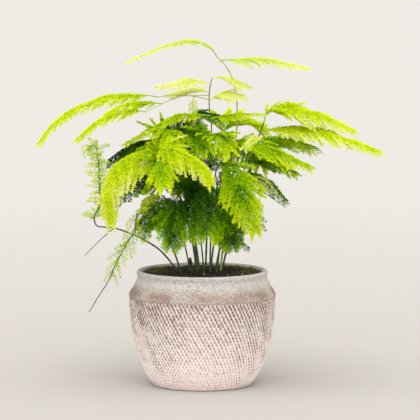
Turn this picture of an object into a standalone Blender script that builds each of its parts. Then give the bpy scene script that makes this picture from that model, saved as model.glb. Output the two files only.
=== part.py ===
import math

import bmesh
import bpy
import numpy as np
from mathutils import Vector
from mathutils.bvhtree import BVHTree

MM = 0.001

# Driving sizes, in mm
CLEARANCE = 0.3
SAFE_CLEARANCE = 0.39
RIM_SIDES = 45
BELLY_SIDES = 90
RELIEF_ROWS = 11
RELIEF_DEPTH = 1.8
RELIEF_MEAN = 0.55
RELIEF_LEAN = 0.22
SOIL_SIDES = 20
SOIL_EDGE_HEIGHT = 115.0
SOIL_CROWN_RISE = 2.5
SOIL_CROWN_RADIUS = 30.0
SOIL_LUMP = 0.9
SOIL_RIPPLE = 0.6
HOLE_TOP_HEIGHT = 131.0
CANE_SIDES = 5
STUB_SIDES = 7
RACHIS_SIDES = 3
CANE_STRIDE = 24.0
STALK_RADIUS = 0.85
STALK_TIP_RADIUS = 0.6
STALK_STRIDE = 26.0
RIB_SIZE = 0.62
RIB_LEAST_SIZE = 0.75
RIB_FULL_LENGTH = 25.0
RIB_TAPER = 0.3
RIB_KEEL = 0.5
RIB_SHARES = (0.3, 0.56)
ROOT_TAPER = 0.5
NEEDLE_STEP_LENGTHS = (12.0, 39.0)
NEEDLE_REACH = 4.2
NEEDLE_REACH_GROWTH = 0.05
NEEDLE_REACH_SPREAD = 0.5
NEEDLE_LIFT = 0.3
NEEDLE_AHEAD = 2.4
NEEDLE_SWEEP = 0.2
FAT_MARGIN = 0.4
BARE_SHARE = 0.1
TIP_PINNA_SHARE = 0.97
OPENING_AT_FOOT = 54.0
OPENING_AT_TIP = 30.0
SAG = 0.15
SPRIG_OPENING = 60.0
SPRIG_TURN_SPREAD = 30.0
SPRIG_LENGTHS = (0.8, 0.25)
SPRIG_SAG = 0.25
SPRIG_HANG = 0.1
HAND_OFFSETS = (0.35, 0.65)
STEP_SPREAD = 0.1
LENGTH_SPREAD = 0.1
DROOP_SPREAD = 5.0
SHORT_FOOT_SHARE = 0.62
LONGEST_AT_SHARE = 0.16
TIP_LENGTH_LOSS = 0.74
SOIL_TOP_RADII = (56.0, 42.0, 27.0, 12.0)
CURVE_STEPS = 16
ROUGH_STEPS = 60
LEAST_STALK_RINGS = 5
FORK_RINGS = 7
FORK_SIDES = 4
STUB_RINGS = 6
FINE_STEPS = 1200
START_SPAN = 60
SPIRAL_STEP = 137.5
POT_SHARP_ANGLE = 12
LEAF_SHARP_ANGLE = 25
ROOM_SHRINKS = (1.0, 0.8, 0.6, 0.42)
ROOM_TILTS = (0, 9, -9, 18, -18, 27, -27, 38)

# Colour and roughness of each material
MATERIALS = {
    "pot_stone": ((0.66, 0.56, 0.50), 0.9),
    "soil_dark": ((0.035, 0.024, 0.018), 0.95),
    "dead_wood": ((0.10, 0.06, 0.04), 0.9),
    "cane_green": ((0.20, 0.30, 0.05), 0.6),
    "leaf_lime": ((0.42, 0.74, 0.01), 0.6),
    "leaf_mid": ((0.17, 0.47, 0.01), 0.6),
    "leaf_dark": ((0.03, 0.16, 0.02), 0.65),
    "leaf_pale": ((0.66, 0.86, 0.14), 0.6),
}

# Flat foot of the pot, radius and height
FOOT_OUTLINE = (
    (48.0, 0.0),
    (51.0, 0.9),
)

# Outer outline of the knurled belly
BELLY_OUTLINE = (
    (51.8, 2.6),
    (55.0, 7.0),
    (58.6, 13.0),
    (62.4, 21.0),
    (66.6, 33.0),
    (70.2, 47.0),
    (72.4, 59.0),
    (73.8, 71.0),
    (74.6, 82.0),
    (74.9, 92.0),
)

# Smooth collar, rim, inner wall and inner floor
COLLAR_OUTLINE = (
    (75.4, 92.8),
    (75.8, 95.0),
    (74.6, 98.0),
    (70.2, 104.4),
    (67.8, 111.0),
    (67.2, 115.6),
    (65.4, 118.0),
    (62.6, 117.8),
    (61.4, 114.4),
    (63.0, 96.0),
    (61.0, 50.0),
    (46.0, 9.0),
)

# Side of the soil, up to its top edge
SOIL_SIDE_OUTLINE = (
    (45.6, 9.3),
    (60.5, 50.0),
    (62.5, 96.0),
    (60.9, 113.2),
)

# Canes: path points, then radius at the foot and at the tip
CANES = {
    "cane_tall_right": (
        ((18, 3, 95), (19, 4, 118), (22, 6, 146), (30, 9, 205), (35.5, 10, 264),
         (35.3, 9, 294), (33, 8, 308), (29, 7, 319), (22.8, 6, 329), (15.4, 5, 336.5)),
        1.1, 0.55,
    ),
    "cane_tall_middle": (
        ((3, 0, 95), (3.5, 0, 118), (5, 2, 160), (8, 4, 215), (9.6, 5, 262),
         (8.1, 5, 276), (7.1, 5, 290), (7.6, 5, 303), (10, 5, 315)),
        1.1, 0.5,
    ),
    "cane_long_left": (
        ((-25, 2, 95), (-26, 1.5, 116), (-40.5, -2, 136), (-53, -5, 146), (-66, -8, 153.5),
         (-76, -10, 158), (-89, -13, 162.5), (-100, -15, 164), (-108, -17, 166),
         (-110, -17, 176), (-104.5, -16, 188), (-105, -15, 219), (-107, -13, 242),
         (-111, -12, 248), (-117, -11, 243)),
        1.0, 0.5,
    ),
    "cane_arching": (
        ((-21, -7, 95), (-22, -8, 116), (-31, -10, 144), (-42, -13, 169), (-49, -15, 179.5),
         (-58, -17, 183), (-66, -19, 178), (-69, -22, 160), (-73, -24, 154), (-78, -26, 146),
         (-83, -28, 137), (-87, -29, 130), (-91.5, -30, 119), (-97.5, -31, 107),
         (-106, -32, 94), (-115, -33, 79)),
        1.0, 0.45,
    ),
    "cane_right": (
        ((20, 11, 95), (21, 11, 118), (29, 12, 152), (45, 11, 205), (55, 9, 245), (63, 7, 269)),
        1.1, 0.7,
    ),
    "cane_right_front": (
        ((15, -5, 95), (15.5, -5, 118), (20, -7, 160), (26, -11, 205), (28, -14, 238)),
        1.0, 0.65,
    ),
    "cane_right_low": (
        ((12, 9, 95), (14, 9.5, 118), (21, 13, 150), (36, 17, 192), (44, 18, 222)),
        1.0, 0.65,
    ),
    "cane_left": (
        ((-6, 6, 95), (-6.4, 6, 118), (-11, 7.5, 150), (-26, 10, 202), (-36, 11, 238)),
        1.1, 0.65,
    ),
    "cane_left_front": (
        ((-4, -8, 95), (-4.4, -8.5, 118), (-9, -12, 150), (-23, -19, 198), (-38, -25, 232)),
        1.1, 0.65,
    ),
    "cane_front": (
        ((8, -8, 95), (8, -9, 118), (9, -13, 160), (11, -19, 200), (14, -24, 222)),
        1.0, 0.65,
    ),
    "cane_front_low": (
        ((2, -13, 95), (1.6, -14, 118), (-1, -20, 148), (-5, -27, 178), (-7, -34, 197)),
        0.9, 0.6,
    ),
    "cane_left_low": (
        ((-12, -1, 95), (-13, -1.5, 118), (-19, -5, 148), (-31, -11, 173), (-42, -17, 190)),
        0.9, 0.55,
    ),
    "cane_back_left": (
        ((-2, 13, 95), (-3, 14, 118), (-8, 20, 150), (-20, 33, 200), (-28, 42, 235)),
        1.0, 0.65,
    ),
    "cane_back_right": (
        ((8, 17, 95), (9, 18, 118), (13, 26, 152), (20, 41, 210), (23, 48, 252)),
        1.0, 0.65,
    ),
}

# Bare forks fused to a cane: path points, then start and tip radius
FORKS = {
    "cane_tall_middle": (
        (((7.3, 5, 293), (-12, 4, 297), (-31, 2, 297.5), (-45, 0, 296)), 0.6, 0.45),
        (((-22, 3, 297.5), (-36, -5, 291.5), (-46.5, -11, 287), (-57, -18, 282)), 0.5, 0.4),
    ),
    "cane_long_left": (
        (((-90, -13, 162.7), (-103, -16, 152), (-112, -18, 143), (-120, -20, 135)), 0.5, 0.35),
    ),
    "cane_right": (
        (((42.5, 11, 195), (54, 4, 201), (68, -3, 195), (86, -9, 183)), 0.5, 0.35),
    ),
    "cane_tall_right": (
        (((23.5, 6, 328), (20, 2, 332), (16, 0, 331)), 0.5, 0.35),
    ),
}

UP = (0.0, -0.3, 1.0)
SPRIG_UP = (0.0, 0.3, 1.0)
FRONT = (0.0, -1.0, 0.3)

# Fronds: carrying cane, stalk points from the cane out, longest pinna, pairs, face, droop, hang, colour
FRONDS = {
    "frond_top_left": (
        "cane_tall_right", ((15.4, 5, 336.5), (6, 3, 345), (-10, 0, 354), (-40, -5, 347),
                         (-78, -10, 332)),
        18, 6, UP, 14, 0.2, "leaf_pale"),
    "frond_top_right": (
        "cane_tall_right", ((19, 5.5, 333), (26, 2, 334), (60, -4, 335), (85, -8, 331), (108, -12, 326)),
        18, 6, UP, 16, 0.25, "leaf_pale"),
    "frond_crown_left": (
        "cane_tall_middle", ((8.5, 5, 308), (0, 1, 312), (-20, -5, 311), (-43, -9, 306)),
        18, 4, UP, 14, 0.1, "leaf_pale"),
    "frond_crown_right": (
        "cane_tall_middle", ((10, 5, 315), (18, 4, 316), (30, 2, 311), (46, 0, 305)),
        16, 4, UP, 14, 0.1, "leaf_pale"),
    "frond_second_left": (
        "cane_tall_middle", ((7.3, 5, 299), (0, 9, 303), (-14, 13, 300), (-32, 18, 292)),
        18, 3, UP, 14, 0.1, "leaf_pale"),
    "frond_second_right": (
        "cane_tall_middle", ((7.1, 5, 291), (14, 1, 297), (26, -4, 299), (42, -8, 297)),
        13, 4, UP, 14, 0.1, "leaf_pale"),
    "frond_far_left": (
        "cane_tall_middle", ((-45, 0, 296), (-60, -3, 298), (-92, -9, 297), (-126, -13, 286),
                         (-151, -17, 269), (-167, -19, 249)),
        30, 7, UP, 24, 0.25, "leaf_lime"),
    "frond_upper_left_fan": (
        "cane_tall_middle", ((-40, -7, 290), (-55, -8, 291), (-75, -22, 290), (-97, -30, 281)),
        24, 4, UP, 26, 0.2, "leaf_lime"),
    "frond_left_lower": (
        "cane_tall_middle", ((-57, -18, 282), (-66, -23, 283.5), (-84, -31, 282), (-102, -38, 275),
                         (-117, -43, 264), (-127, -46, 255)),
        24, 5, UP, 20, 0.25, "leaf_lime"),
    "frond_pale_hanging": (
        "cane_tall_middle", ((-9, 4.2, 296.5), (-9.5, 7, 286), (-9.5, 8, 272), (-9.4, 8, 257)),
        8, 4, FRONT, 10, 0.1, "leaf_pale"),
    "frond_middle_left": (
        "cane_tall_middle", ((8, 5, 276), (-4, -1, 278), (-22, -7, 277), (-43, -12, 269),
                         (-79, -19, 249)),
        30, 5, UP, 22, 0.3, "leaf_lime"),
    "frond_middle_strip": (
        "cane_tall_middle", ((8.4, 5, 273), (22, -1, 277), (40, -4, 279), (64, -6, 279)),
        12, 4, UP, 14, 0.1, "leaf_lime"),
    "frond_far_right_upper": (
        "cane_right", ((63, 7, 269), (69, 5, 279), (95, 1, 287), (125, -4, 281), (154, -8, 265)),
        34, 7, UP, 24, 0.25, "leaf_lime"),
    "frond_far_right": (
        "cane_right", ((59, 8, 257), (73, 0, 264), (112, -14, 266), (140, -20, 259), (182, -28, 244)),
        34, 7, UP, 24, 0.3, "leaf_lime"),
    "frond_right_front_tip": (
        "cane_right", ((55.5, 9, 247), (56, -6, 257), (52, -22, 256), (42, -38, 248)),
        20, 4, (0.1, -0.8, 0.8), 20, 0.3, "leaf_pale"),
    "frond_right_dark": (
        "cane_right", ((52, 9.6, 233), (66, 14, 247), (88, 19, 252), (117, 24, 243)),
        34, 4, UP, 20, 0.1, "leaf_dark"),
    "frond_right_mid": (
        "cane_right_front", ((28, -14, 238), (35, -18, 248), (52, -24, 250), (76, -31, 243),
                         (108, -38, 229)),
        38, 5, UP, 24, 0.3, "leaf_lime"),
    "frond_right_under": (
        "cane_right_low", ((44, 18, 222), (51, 18, 229), (72, 14, 230), (95, 9, 219)),
        34, 4, UP, 24, 0.3, "leaf_mid"),
    "frond_right_sparse": (
        "cane_right", ((45.5, 11, 207), (54, 4, 214), (64, -4, 211), (76, -10, 199)),
        18, 4, UP, 16, 0.1, "leaf_pale"),
    "frond_front_right": (
        "cane_front", ((14, -24, 222), (20, -34, 232), (32, -48, 220), (42, -58, 194), (47, -60, 164)),
        40, 6, (0.3, -1, 0.5), 12, 0.15, "leaf_mid"),
    "frond_bluish_right": (
        "cane_right_front", ((22, -8.3, 175), (36, -13, 190), (50, -18, 182), (61, -22, 163)),
        26, 4, (0.4, -1, 0.6), 12, 0.1, "leaf_dark"),
    "frond_low_right": (
        "cane_right_front", ((17.5, -6, 138), (27, -8, 151), (38, -9, 150), (49, -11, 142)),
        16, 3, UP, 18, 0.1, "leaf_dark"),
    "frond_front_left": (
        "cane_left_front", ((-38, -25, 232), (-46, -30, 243), (-66, -37, 242), (-86, -44, 233),
                         (-98, -50, 217), (-102, -54, 199), (-101, -56, 173)),
        44, 7, (-0.3, -0.5, 0.9), 16, 0.55, "leaf_lime"),
    "frond_front_middle": (
        "cane_left_front", ((-33, -22.7, 220), (-44, -34, 243), (-33, -46, 248), (-14, -58, 241),
                         (1, -68, 231), (10, -76, 215)),
        38, 6, (0.1, -0.8, 0.9), 14, 0.45, "leaf_lime"),
    "frond_front_centre": (
        "cane_left_front", ((-28, -20.4, 208), (-42, -44, 232), (-42, -72, 232), (-37, -96, 214)),
        42, 5, (0, -0.8, 0.7), 14, 0.35, "leaf_lime"),
    "frond_left_dark": (
        "cane_left", ((-36, 11, 238), (-44, 13, 248), (-70, 19, 248), (-98, 26, 229)),
        36, 4, UP, 22, 0.25, "leaf_dark"),
    "frond_heart_left": (
        "cane_left", ((-33, 10.6, 226), (-40, -1, 254), (-37, -18, 264), (-29, -40, 253)),
        40, 4, (0.1, -0.6, 1), 16, 0.3, "leaf_lime"),
    "frond_heart_middle": (
        "cane_left", ((-29, 10.2, 210), (-22, -2, 250), (-10, -24, 261), (6, -48, 246)),
        42, 4, (0.1, -0.7, 1), 16, 0.3, "leaf_mid"),
    "frond_heart_right": (
        "cane_tall_middle", ((8.6, 4.4, 235), (8, -10, 254), (14, -24, 259), (28, -38, 246)),
        42, 4, (0.1, -0.6, 1), 18, 0.3, "leaf_lime"),
    "frond_heart_dark": (
        "cane_tall_middle", ((8, 4, 214), (2, -6, 230), (-8, -14, 228), (-19, -22, 206)),
        36, 3, (0, -1, 0.5), 14, 0.3, "leaf_dark"),
    "frond_heart_low": (
        "cane_tall_middle", ((6.6, 3, 182), (14, -8, 202), (22, -18, 196), (25, -27, 170)),
        32, 3, (0.2, -1, 0.5), 14, 0.3, "leaf_dark"),
    "frond_small_left": (
        "cane_left_low", ((-42, -17, 190), (-47, -20, 197), (-55, -24, 194), (-62, -28, 184)),
        15, 3, (-0.2, -0.7, 0.8), 16, 0.1, "leaf_lime"),
    "frond_tuft_left": (
        "cane_left_low", ((-27, -8.6, 162), (-42, -20, 176), (-54, -27, 172), (-59, -32, 152)),
        20, 4, (-0.2, -1, 0.5), 14, 0.1, "leaf_mid"),
    "frond_low_front": (
        "cane_front_low", ((-7, -34, 197), (-5, -42, 206), (2, -54, 196), (5, -64, 164)),
        40, 4, (0.1, -1, 0.6), 12, 0.2, "leaf_dark"),
    "frond_low_front_left": (
        "cane_front_low", ((-5.3, -24.5, 170), (-16, -40, 192), (-26, -52, 182), (-32, -60, 152)),
        36, 4, (-0.2, -1, 0.6), 12, 0.2, "leaf_mid"),
    "frond_low_front_right": (
        "cane_front", ((10.3, -17, 187), (22, -32, 190), (29, -42, 174), (31, -46, 150)),
        28, 4, (0.4, -1, 0.5), 12, 0.2, "leaf_dark"),
    "frond_low_left": (
        "cane_left", ((-20, 8.5, 170), (-36, 3, 186), (-54, -3, 180), (-68, -8, 162)),
        32, 4, (-0.3, -0.6, 0.9), 16, 0.1, "leaf_dark"),
    "frond_back_left": (
        "cane_back_left", ((-28, 42, 235), (-34, 49, 246), (-50, 72, 248), (-68, 104, 226)),
        44, 4, (-0.2, 0.5, 1), 18, 0.1, "leaf_mid"),
    "frond_back_left_low": (
        "cane_back_left", ((-20.5, 33, 198), (-44, 46, 216), (-74, 58, 208), (-100, 66, 180)),
        38, 4, (-0.3, 0.5, 1), 18, 0.1, "leaf_dark"),
    "frond_back_top": (
        "cane_back_left", ((-26, 39.5, 225), (-22, 38, 258), (-8, 34, 277), (18, 30, 276)),
        36, 4, (0, -0.2, 1), 16, 0.1, "leaf_dark"),
    "frond_back_right_top": (
        "cane_back_right", ((23, 48, 252), (25, 52, 262), (40, 60, 270), (66, 64, 260)),
        38, 4, (0.1, 0.2, 1), 18, 0.1, "leaf_mid"),
    "frond_back_right": (
        "cane_back_right", ((21.5, 44.5, 231), (34, 64, 246), (52, 92, 240), (62, 118, 216)),
        44, 4, (0.2, 0.5, 1), 18, 0.1, "leaf_mid"),
    "frond_back_right_low": (
        "cane_back_right", ((18, 37, 193), (40, 50, 212), (68, 62, 206), (94, 72, 178)),
        38, 4, (0.3, 0.5, 1), 18, 0.1, "leaf_dark"),
}

# Sparse sprigs fused straight to two leafy canes: first and last share of the path, number, length
LEAFY_CANES = {
    "cane_long_left": (0.62, 0.98, 11, 15),
    "cane_arching": (0.5, 0.97, 12, 16),
}

OLD_STUB = (((-9, -17, 95), (-9, -17.5, 112), (-11, -19, 124), (-12.5, -20, 133)), 2.2, 1.5)


def wobble(*keys):
    total = 0.0
    for place, key in enumerate(keys):
        total += (key + 1.7) * (12.9898 + 21.377 * place)
    value = math.sin(total) * 43758.5453
    return 2.0 * (value - math.floor(value)) - 1.0


def smooth_path(points, count):
    # Catmull-Rom curve through the points, resampled to even steps
    given = [Vector(point) for point in points]
    ends = [given[0] * 2 - given[1]] + given + [given[-1] * 2 - given[-2]]
    dense = []
    for index in range(1, len(ends) - 2):
        before, start, end, after = ends[index - 1:index + 3]
        for step in range(CURVE_STEPS):
            t = step / CURVE_STEPS
            curve = start * 2 + (end - before) * t
            curve += (before * 2 - start * 5 + end * 4 - after) * t * t
            curve += (start * 3 - before - end * 3 + after) * t * t * t
            dense.append(curve * 0.5)
    dense.append(given[-1])
    lengths = [0.0]
    for first, second in zip(dense, dense[1:]):
        lengths.append(lengths[-1] + (second - first).length)
    columns = [[point[axis] for point in dense] for axis in range(3)]
    wanted = np.linspace(0.0, lengths[-1], count)
    even = [np.interp(wanted, lengths, column) for column in columns]
    return [Vector((even[0][i], even[1][i], even[2][i])) for i in range(count)]


def tangents_of(path):
    result = []
    for index in range(len(path)):
        first = path[max(index - 1, 0)]
        second = path[min(index + 1, len(path) - 1)]
        result.append((second - first).normalized())
    return result


def tube(path, radius_start, radius_end, sides):
    # Swept, tapered, flat-ended solid as points and faces
    tangents = tangents_of(path)
    reference = Vector((1, 0, 0))
    if abs(tangents[0].x) > 0.8:
        reference = Vector((0, 1, 0))
    points = []
    for index, centre in enumerate(path):
        share = index / (len(path) - 1)
        radius = radius_start + (radius_end - radius_start) * share
        across = reference - tangents[index] * reference.dot(tangents[index])
        across.normalize()
        reference = across
        other = tangents[index].cross(across)
        for side in range(sides):
            angle = math.tau * side / sides
            points.append(centre + (across * math.cos(angle) + other * math.sin(angle)) * radius)
    faces = []
    for ring in range(len(path) - 1):
        for side in range(sides):
            a = ring * sides + side
            b = ring * sides + (side + 1) % sides
            faces.append((a, b, b + sides, a + sides))
    faces.append(tuple(reversed(range(sides))))
    last = (len(path) - 1) * sides
    faces.append(tuple(last + side for side in range(sides)))
    return points, faces


def make_material(name, colour, roughness):
    material = bpy.data.materials.new(name)
    material.use_nodes = True
    shader = material.node_tree.nodes["Principled BSDF"]
    shader.inputs["Base Color"].default_value = (colour[0], colour[1], colour[2], 1.0)
    shader.inputs["Roughness"].default_value = roughness
    shader.inputs["Metallic"].default_value = 0.0
    material.diffuse_color = (colour[0], colour[1], colour[2], 1.0)
    return material


def make_object(name, points, faces, material):
    mesh = bpy.data.meshes.new(name)
    mesh.from_pydata([tuple(Vector(point) * MM) for point in points], [], faces)
    mesh.update()
    mesh.materials.append(material)
    made = bpy.data.objects.new(name, mesh)
    bpy.context.scene.collection.objects.link(made)
    return made


def fuse(base, parts, operation="UNION"):
    # One Boolean of a whole collection of parts, applied, and the parts removed
    if not parts:
        return
    group = bpy.data.collections.new(base.name + "_parts")
    bpy.context.scene.collection.children.link(group)
    for part in parts:
        group.objects.link(part)
        bpy.context.scene.collection.objects.unlink(part)
        part.hide_render = True
        part.display_type = "WIRE"
    modifier = base.modifiers.new("join", "BOOLEAN")
    modifier.operation = operation
    modifier.operand_type = "COLLECTION"
    modifier.collection = group
    modifier.solver = "EXACT"
    bpy.context.view_layer.objects.active = base
    bpy.ops.object.modifier_apply(modifier=modifier.name)
    for part in parts:
        bpy.data.objects.remove(part)
    bpy.data.collections.remove(group)


def body_of(made):
    # Points in mm and faces of an object that is already made
    points = [vertex.co / MM for vertex in made.data.vertices]
    faces = [tuple(polygon.vertices) for polygon in made.data.polygons]
    return points, faces


def keep_largest_body(made):
    # Drops any loose scrap that a fusing leaves
    mesh = made.data
    work = bmesh.new()
    work.from_mesh(mesh)
    unseen = set(work.verts)
    bodies = []
    while unseen:
        seed = unseen.pop()
        body = [seed]
        reached = [seed]
        while reached:
            vertex = reached.pop()
            for edge in vertex.link_edges:
                other = edge.other_vert(vertex)
                if other in unseen:
                    unseen.remove(other)
                    body.append(other)
                    reached.append(other)
        bodies.append(body)
    bodies.sort(key=len)
    for body in bodies[:-1]:
        bmesh.ops.delete(work, geom=body, context="VERTS")
    work.to_mesh(mesh)
    work.free()


def round_shading(made, degrees=35):
    for polygon in made.data.polygons:
        polygon.use_smooth = True
    made.data.set_sharp_from_angle(angle=math.radians(degrees))


class Obstacles:
    # Everything that later foliage has to stay clear of
    def __init__(self):
        self.items = []

    def add(self, owner, points, faces):
        low = Vector([min(point[axis] for point in points) for axis in range(3)])
        high = Vector([max(point[axis] for point in points) for axis in range(3)])
        tree = BVHTree.FromPolygons(points, faces)
        self.items.append((owner, low, high, tree))

    def hits(self, ignored, points, faces):
        low = Vector([min(point[axis] for point in points) for axis in range(3)])
        high = Vector([max(point[axis] for point in points) for axis in range(3)])
        tree = None
        for other, other_low, other_high, other_tree in self.items:
            if other in ignored:
                continue
            apart = False
            for axis in range(3):
                if low[axis] > other_high[axis] or high[axis] < other_low[axis]:
                    apart = True
            if apart:
                continue
            if tree is None:
                tree = BVHTree.FromPolygons(points, faces)
            if tree.overlap(other_tree):
                return other
        return None


def step_count(length):
    # Needle pairs that a pinna of this length carries
    count = 0
    for limit in NEEDLE_STEP_LENGTHS:
        if length > limit:
            count += 1
    return count


def pinna(root, direction, normal, length, key, sag, extra=0.0):
    # A slim three-sided rib with a needle on each side of every step, closed to a point
    steps = step_count(length)
    side = direction.cross(normal).normalized()
    above = side.cross(direction).normalized()
    growth = min(length / RIB_FULL_LENGTH, 1.0)
    size = RIB_SIZE * (RIB_LEAST_SIZE + (1.0 - RIB_LEAST_SIZE) * growth) + extra
    stride = 0.0
    if steps:
        stride = RIB_SHARES[steps - 1] / steps

    def centre_at(share):
        return root + direction * (length * share) + Vector((0, 0, -sag * length * share * share))

    points = []
    for index in range(steps + 1):
        share = stride * index
        taper = size * (1.0 - RIB_TAPER * share)
        centre = centre_at(share)
        if index == 0:
            taper *= ROOT_TAPER
        points.append(centre + above * taper)
        points.append(centre - side * taper - above * taper * RIB_KEEL)
        points.append(centre + side * taper - above * taper * RIB_KEEL)
    faces = [(0, 1, 2)]
    for index in range(steps):
        a = index * 3
        b = a + 3
        share = stride * (index + 0.5)
        middle = centre_at(share)
        reach = (NEEDLE_REACH + NEEDLE_REACH_GROWTH * length) * (1.0 - RIB_TAPER * share) + extra
        reach += NEEDLE_REACH_SPREAD * wobble(key, index, 1)
        ahead = NEEDLE_AHEAD + NEEDLE_SWEEP * length + extra
        lift = reach * NEEDLE_LIFT * wobble(key, index, 2)
        left = len(points)
        points.append(middle - side * reach + direction * ahead + above * lift)
        faces += [(a, b, left), (b, b + 1, left), (b + 1, a + 1, left), (a + 1, a, left)]
        lift = reach * NEEDLE_LIFT * wobble(key, index, 3)
        right = len(points)
        points.append(middle + side * reach + direction * ahead + above * lift)
        faces += [(a, a + 2, right), (a + 2, b + 2, right), (b + 2, b, right), (b, a, right)]
        faces.append((a + 1, b + 1, b + 2, a + 2))
    tip = len(points)
    points.append(centre_at(1.0) + direction * extra)
    last = steps * 3
    faces += [(last, tip, last + 1), (last, last + 2, tip), (last + 1, tip, last + 2)]
    return points, faces


def pinna_length_share(share):
    # Short at the foot of the frond, longest soon after, then tapering to the tip
    rise = SHORT_FOOT_SHARE + (1.0 - SHORT_FOOT_SHARE) * min(share / LONGEST_AT_SHARE, 1.0)
    fall = 1.0 - TIP_LENGTH_LOSS * max(0.0, (share - LONGEST_AT_SHARE) / (1.0 - LONGEST_AT_SHARE))
    return rise * fall


def point_on(path, share):
    place = share * (len(path) - 1)
    index = min(int(place), len(path) - 2)
    part = place - index
    point = path[index].lerp(path[index + 1], part)
    return point, (path[index + 1] - path[index]).normalized()


def place_pinna(owner, obstacles, root, along, side, above, hand, length, key, opening, droop, hang, sag):
    # The first of several nearly equal directions that stays clear of everything else
    for shrink in ROOM_SHRINKS:
        for tilt in ROOM_TILTS:
            spread = math.radians(opening)
            down = math.radians(droop + tilt)
            direction = along * math.cos(spread) + side * (hand * math.sin(spread))
            direction = direction * math.cos(down) - above * math.sin(down)
            direction = direction - Vector((0, 0, hang))
            direction.normalize()
            points, faces = pinna(root, direction, above, length * shrink, key, sag, FAT_MARGIN)
            if obstacles.hits((owner,), points, faces):
                continue
            return pinna(root, direction, above, length * shrink, key, sag)
    return None


def nearest_on_axis(axis, point):
    best = None
    for first, second in zip(axis, axis[1:]):
        span = second - first
        share = max(0.0, min(1.0, (point - first).dot(span) / span.length_squared))
        spot = first + span * share
        if best is None or (spot - point).length < (best - point).length:
            best = spot
    return best


def start_outside(path, cane_tree, radius):
    # First place up the stalk from which it stands clear of the cane that carries it
    wide = radius + SAFE_CLEARANCE
    for index in range(len(path) // 2):
        reach = path[index:index + START_SPAN:START_SPAN // 5]
        trial = BVHTree.FromPolygons(*tube(reach, wide, wide, RACHIS_SIDES))
        if trial.overlap(cane_tree):
            continue
        gone = 0.0
        while gone < CLEARANCE:
            gone += (path[index + 1] - path[index]).length
            index += 1
        return index
    return 0


def ring_of(sides, radius, height, lean=0.0, relief=0.0, row=0):
    # One ring of points round the axis; with relief, every other point stands out
    points = []
    for side in range(sides):
        angle = math.tau * (side + lean) / sides
        reach = radius
        if relief:
            reach += relief * ((row + side) % 2 - RELIEF_MEAN)
        points.append(Vector((reach * math.cos(angle), reach * math.sin(angle), height)))
    return points


def join_rings(lower, lower_sides, upper, upper_sides):
    # Faces between two rings, where one may have a whole number of times the other's points
    faces = []
    if lower_sides > upper_sides:
        times = lower_sides // upper_sides
        for side in range(upper_sides):
            for part in range(times):
                a = lower + side * times + part
                b = lower + (side * times + part + 1) % lower_sides
                faces.append((a, b, upper + side))
            following = (side + 1) % upper_sides
            faces.append((lower + following * times, upper + following, upper + side))
        return faces
    times = upper_sides // lower_sides
    for side in range(lower_sides):
        following = (side + 1) % lower_sides
        for part in range(times):
            c = upper + (side * times + part + 1) % upper_sides
            d = upper + side * times + part
            faces.append((lower + side, c, d))
        faces.append((lower + side, lower + following, upper + following * times))
    return faces


def join_relief(lower, upper, sides, row):
    # Each square is split between its two sunk points, so the raised ones stand as nubs
    faces = []
    for side in range(sides):
        a = lower + side
        b = lower + (side + 1) % sides
        c = upper + (side + 1) % sides
        d = upper + side
        if (row + side) % 2:
            faces += [(a, b, d), (b, c, d)]
        else:
            faces += [(a, b, c), (a, c, d)]
    return faces


def make_pot(material):
    # A body of revolution with a slanted net of raised points over the belly
    points = []
    faces = []
    starts = []
    for radius, height in FOOT_OUTLINE:
        starts.append((len(points), RIM_SIDES))
        points += ring_of(RIM_SIDES, radius, height)
    heights = [point[1] for point in BELLY_OUTLINE]
    radii = [point[0] for point in BELLY_OUTLINE]
    for row in range(RELIEF_ROWS + 1):
        height = heights[0] + (heights[-1] - heights[0]) * row / RELIEF_ROWS
        radius = float(np.interp(height, heights, radii))
        relief = RELIEF_DEPTH if 0 < row < RELIEF_ROWS else 0.0
        starts.append((len(points), BELLY_SIDES))
        points += ring_of(BELLY_SIDES, radius, height, RELIEF_LEAN * row, relief, row)
    for radius, height in COLLAR_OUTLINE:
        starts.append((len(points), RIM_SIDES))
        points += ring_of(RIM_SIDES, radius, height, RELIEF_LEAN * RELIEF_ROWS * RIM_SIDES / BELLY_SIDES)
    first_belly = len(FOOT_OUTLINE)
    for index in range(len(starts) - 1):
        lower, lower_sides = starts[index]
        upper, upper_sides = starts[index + 1]
        if lower_sides == BELLY_SIDES and upper_sides == BELLY_SIDES:
            faces += join_relief(lower, upper, BELLY_SIDES, index - first_belly)
        else:
            faces += join_rings(lower, lower_sides, upper, upper_sides)
    faces.append(tuple(reversed(range(RIM_SIDES))))
    faces.append(tuple(starts[-1][0] + side for side in range(RIM_SIDES)))
    return make_object("pot", points, faces, material)


def soil_height(x, y):
    radius = math.hypot(x, y)
    rise = SOIL_CROWN_RISE * math.exp(-(radius / SOIL_CROWN_RADIUS) ** 2)
    lumps = SOIL_LUMP * math.sin(0.23 * x + 1.1) * math.cos(0.19 * y - 0.4)
    lumps += SOIL_RIPPLE * math.sin(0.51 * x - 0.37 * y)
    return SOIL_EDGE_HEIGHT + rise + lumps


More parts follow.
